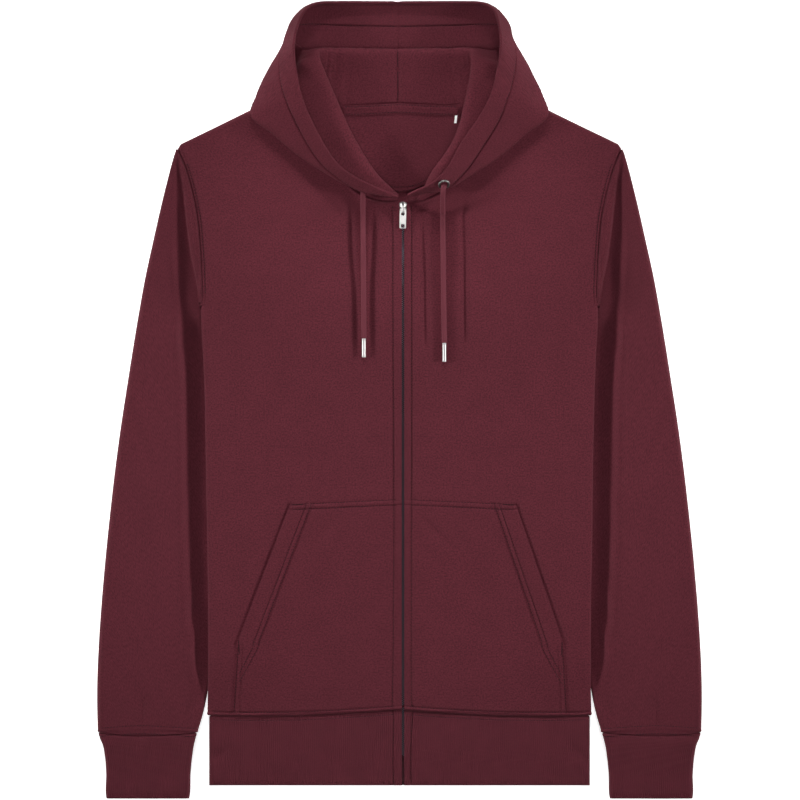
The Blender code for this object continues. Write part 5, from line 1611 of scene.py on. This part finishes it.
def outline(curve, low, high, corner, steps=6):
    """A closed line with round corners, added to a flat curve."""
    left, right = low[0] + corner, high[0] - corner
    near, far = low[1] + corner, high[1] - corner
    spots = []
    for start, x, y in ((0, right, far), (90, left, far), (180, left, near), (270, right, near)):
        for angle in np.linspace(start, start + 90, steps):
            turn = math.radians(angle)
            spots.append((x + corner * math.cos(turn), y + corner * math.sin(turn)))
    line = curve.splines.new("POLY")
    line.points.add(len(spots) - 1)
    for point, (x, y) in zip(line.points, spots):
        point.co = (x * MM, y * MM, 0.0, 1.0)
    line.use_cyclic_u = True


def pull_tab():
    """A flat plate with two holes and rounded edges, hanging on the bridge."""
    curve = bpy.data.curves.new("tab_outline", "CURVE")
    curve.dimensions = "2D"
    curve.fill_mode = "BOTH"
    curve.extrude = (TAB_WALL / 2 - TAB_BEVEL) * MM
    curve.bevel_depth = TAB_BEVEL * MM
    curve.bevel_resolution = 3
    curve.offset = -TAB_BEVEL * MM
    half, hole = TAB_WIDTH / 2, TAB_HOLE_WIDTH / 2
    outline(curve, (-half, TAB_END - TAB_LENGTH), (half, TAB_END), 1.1)
    outline(curve, (-hole, TAB_UPPER_HOLE[0]), (hole, TAB_UPPER_HOLE[1]), 0.8)
    outline(curve, (-hole, TAB_LOWER_HOLE[0]), (hole, TAB_LOWER_HOLE[1]), 0.5)
    shape = bpy.data.objects.new("tab_shape", curve)
    mesh = bpy.data.meshes.new_from_object(shape)
    bpy.data.objects.remove(shape)
    mesh.materials.clear()
    mesh.materials.append(NICKEL)
    tab = linked(bpy.data.objects.new("pull_tab_plate", mesh))
    tab.location = Vector((ZIP_X, AXIS_Y, AXIS_Z)) * MM
    tab.rotation_euler = (TAB_SLOPE, 0.0, TAB_TURN)
    kept(tab, ("pull_tab",), "pull_tab")


# ---------------------------------------------------------------- stitches of the body

HEM_STITCH_UP, HEM_STITCH_DOWN = 4.3, 4.0
WRIST_STITCHES = (4.3, -3.9)  # over and under the seam
TACK_SWING = 0.9


def front_stitches(side, name):
    """Rows beside the armhole and the zip, and on both sides of the hem's seam."""
    front, all_three = top_of("front_" + name), top_of("front_" + name, "pocket_" + name, "hem_band")
    arm = finer(ARMHOLE)[::-1] - (3.3, 0.0)
    lines = plan_lines(front, flipped(side, arm[6:-4:3]))
    outs = side * np.linspace(6.5, 191.0, 40)
    over = [(x, float(hem_seam(x)) + HEM_STITCH_UP) for x in outs]
    under = [(x, float(hem_seam(x)) - HEM_STITCH_DOWN) for x in outs]
    stitches("front_stitches_" + name, lines + plan_lines(all_three, TOPSTITCH[side], over, under))


def tack(start, end):
    """A zigzag of close stitches between two places."""
    (ax, ay), (bx, by) = start, end
    level = abs(bx - ax) > 5
    spots = []
    for k, t in enumerate(np.linspace(0, 1, 22)):
        swing = -TACK_SWING * (k % 2)
        spots.append((ax + (bx - ax) * t + swing * (not level), ay + (by - ay) * t + swing * level))
    return spots


def pocket_stitches(side, name):
    top, mid, base = POCKET_TOP[side], POCKET_OPENING_LOW[side], POCKET_LOW[side]
    grid, _ = PANELS["pocket_" + name]
    pocket = top_of("pocket_" + name)
    from_edge = np.array([lengths_of(row) for row in grid])
    lines = []
    # how far each row lies from the slanted mouth, and how far below its end it meets the side
    for at, foot in ((17.0, 30.0), (22.5, 39.0)):
        spots = grid[np.arange(len(grid)), np.argmin(np.abs(from_edge - at), axis=1)]
        spots = spots[(spots[:, 1] > mid[1] - 2.0) & (spots[:, 1] < top[1] - 1.0)]
        lines.append((spots, np.tile([0.0, 0.0, 1.0], (len(spots), 1))))
        x, y, _ = spots[np.argmin(spots[:, 1])]
        lines += plan_lines(pocket, [(x, y - 1.0), (side * (mid[0] - 2.4), mid[1] - foot)])
    inner_out = ZIP_X * side + ZIP_SLOT / 2 + 6.0
    for down in (1.8, 7.0):
        row = [(top[0] - 1.5, top[1] - down), (inner_out, POCKET_INNER_TOP_Y - down)]
        lines += plan_lines(pocket, flipped(side, row))
    row = [(mid[0] - 1.8, mid[1] - 2.0), (base[0] - 1.8, base[1] + 3.0)]
    lines += plan_lines(pocket, flipped(side, row))
    top_tack = tack((top[0] - 1.0, top[1] - 1.6), (top[0] - 12.0, top[1] - 1.2))
    for spots in (top_tack, tack((mid[0] - 1.6, mid[1] + 4.0), (mid[0] - 2.4, mid[1] - 9.0))):
        spots, ways = laid_on(pocket, flipped(side, spots))
        lines += [(spots[k : k + 2], ways[k : k + 2]) for k in range(len(spots) - 1)]
    stitches("pocket_stitches_" + name, lines)


def cuff_stitches(side, name):
    seam = finer(CUFF_SEAM, 8)[1:-1]
    rows = [flipped(side, seam + (0.0, up)) for up in WRIST_STITCHES]
    tree = top_of("sleeve_" + name, "cuff_" + name)
    stitches("cuff_stitches_" + name, plan_lines(tree, *rows))


# ---------------------------------------------------------------- light, floor and camera

# Soft round lights: name, the way each comes from, its height in degrees, its share of the light on
# flat cloth, its softness, how far from its middle its beam ends, and the y of that middle
LIGHTS = (
    ("left_light", 180.0, 18.0, 0.375, 8.0, 0.78, 0.0),
    ("right_light", 0.0, 18.0, 0.375, 8.0, 0.78, 0.0),
    ("hood_side_light", 90.0, 26.0, 0.78, 9.0, 0.50, 0.0),
    ("neck_light", 270.0, 80.0, 3.2, 3.0, 0.070, 0.262),
)
LIGHT_DISTANCE = 7.0
AMBIENT = 0.03
OVERHEAD = 1.22  # how bright the white ceiling panel is
OVERHEAD_SIZE = 4.0
OVERHEAD_AT = (0.0, -1.4, 6.0)
FLOOR_HALF = 4000.0
FLOOR_LOW = 0.5  # under the cloth
FLOOR_GLOW = 0.75
CAMERA_AT = (0.0005, -0.0005, 5.0)
CAMERA_DISTANCE = 4.992  # to the body's upper face
PICTURE_WIDTH = 0.816  # at that distance
SENSOR_WIDTH = 36.0


def floor():
    n = Nodes("pale_floor")
    dust = n.noise(n.add("TexCoord", {}).outputs["Object"], 3.0)
    shade = n.ramp(dust, 0.995, 1.005)
    glow = {"Emission_Color": (1.0, 1.0, 1.0, 1.0), "Emission_Strength": FLOOR_GLOW}
    pale = n.done((0.92, 0.92, 0.92), shade, 0.9, Specular_IOR_Level=0.1, **glow)
    square = ((-1, -1), (1, -1), (1, 1), (-1, 1))
    corners = [(a * FLOOR_HALF, b * FLOOR_HALF, -FLOOR_LOW) for a, b in square]
    mesh_of("floor", corners, [np.array([[0, 1, 2, 3]])], pale)


def lamps():
    """Low soft lights from both sides and the hood's side, one into the neck, a panel overhead."""
    for name, azimuth, height, share, soft, reach_out, aim_y in LIGHTS:
        light = bpy.data.lights.new(name, "SPOT")
        h, a = math.radians(height), math.radians(azimuth)
        light.energy = share * math.pi / math.sin(h) * 4 * math.pi * LIGHT_DISTANCE**2
        light.shadow_soft_size = LIGHT_DISTANCE * math.tan(math.radians(soft) / 2)
        light.spot_size = 2 * math.atan(reach_out / LIGHT_DISTANCE)
        light.spot_blend = 1.0
        lamp = linked(bpy.data.objects.new(name, light))
        way = Vector((math.cos(h) * math.cos(a), math.cos(h) * math.sin(a), math.sin(h)))
        lamp.location = Vector((0.0, aim_y, 0.0)) + way * LIGHT_DISTANCE
        lamp.rotation_euler = Vector((0, 0, -1)).rotation_difference(-way).to_euler()
    light = bpy.data.lights.new("overhead_panel", "AREA")
    light.size = OVERHEAD_SIZE
    light.energy = OVERHEAD * 4 * OVERHEAD_SIZE**2
    linked(bpy.data.objects.new("overhead_panel", light)).location = OVERHEAD_AT


def surroundings():
    world = bpy.data.worlds.new("studio")
    world.use_nodes = True
    inputs = world.node_tree.nodes["Background"].inputs
    inputs["Color"].default_value = (1.0, 1.0, 1.0, 1.0)
    inputs["Strength"].default_value = AMBIENT
    bpy.context.scene.world = world
    bpy.context.scene.view_settings.view_transform = "Standard"


def camera():
    """It looks straight down, with the body's upper face at the picture's scale."""
    eye = linked(bpy.data.objects.new("camera", bpy.data.cameras.new("camera")))
    eye.location = CAMERA_AT
    eye.data.sensor_width = SENSOR_WIDTH
    eye.data.lens = SENSOR_WIDTH * CAMERA_DISTANCE / PICTURE_WIDTH
    eye.data.clip_end = 50.0
    bpy.context.scene.camera = eye


def main():
    camera()
    for side, name in SIDES:
        cord_pieces(side, name)
        eyelet(side, name)
    back_panel()
    hem_panel()
    hem_lines = []
    for side, name in SIDES:
        front = front_panel(side, "front_" + name)
        pocket_panel(side, "pocket_" + name)
        sleeve_panel(side, "sleeve_" + name)
        cuff_panel(side, "cuff_" + name)
        hem_lines += hood_panel(side, "hood_" + name)
    stitches("hood_hem_stitches", hem_lines)
    hood_centre_stitches()
    neck_trim()
    for side, name in SIDES:
        front_stitches(side, name)
        pocket_stitches(side, name)
        cuff_stitches(side, name)
    zip_teeth()
    for side, name in SIDES:
        zip_tape(side, name)
    zip_slider()
    zip_bridge()
    pull_tab()
    floor()
    lamps()
    surroundings()


main()
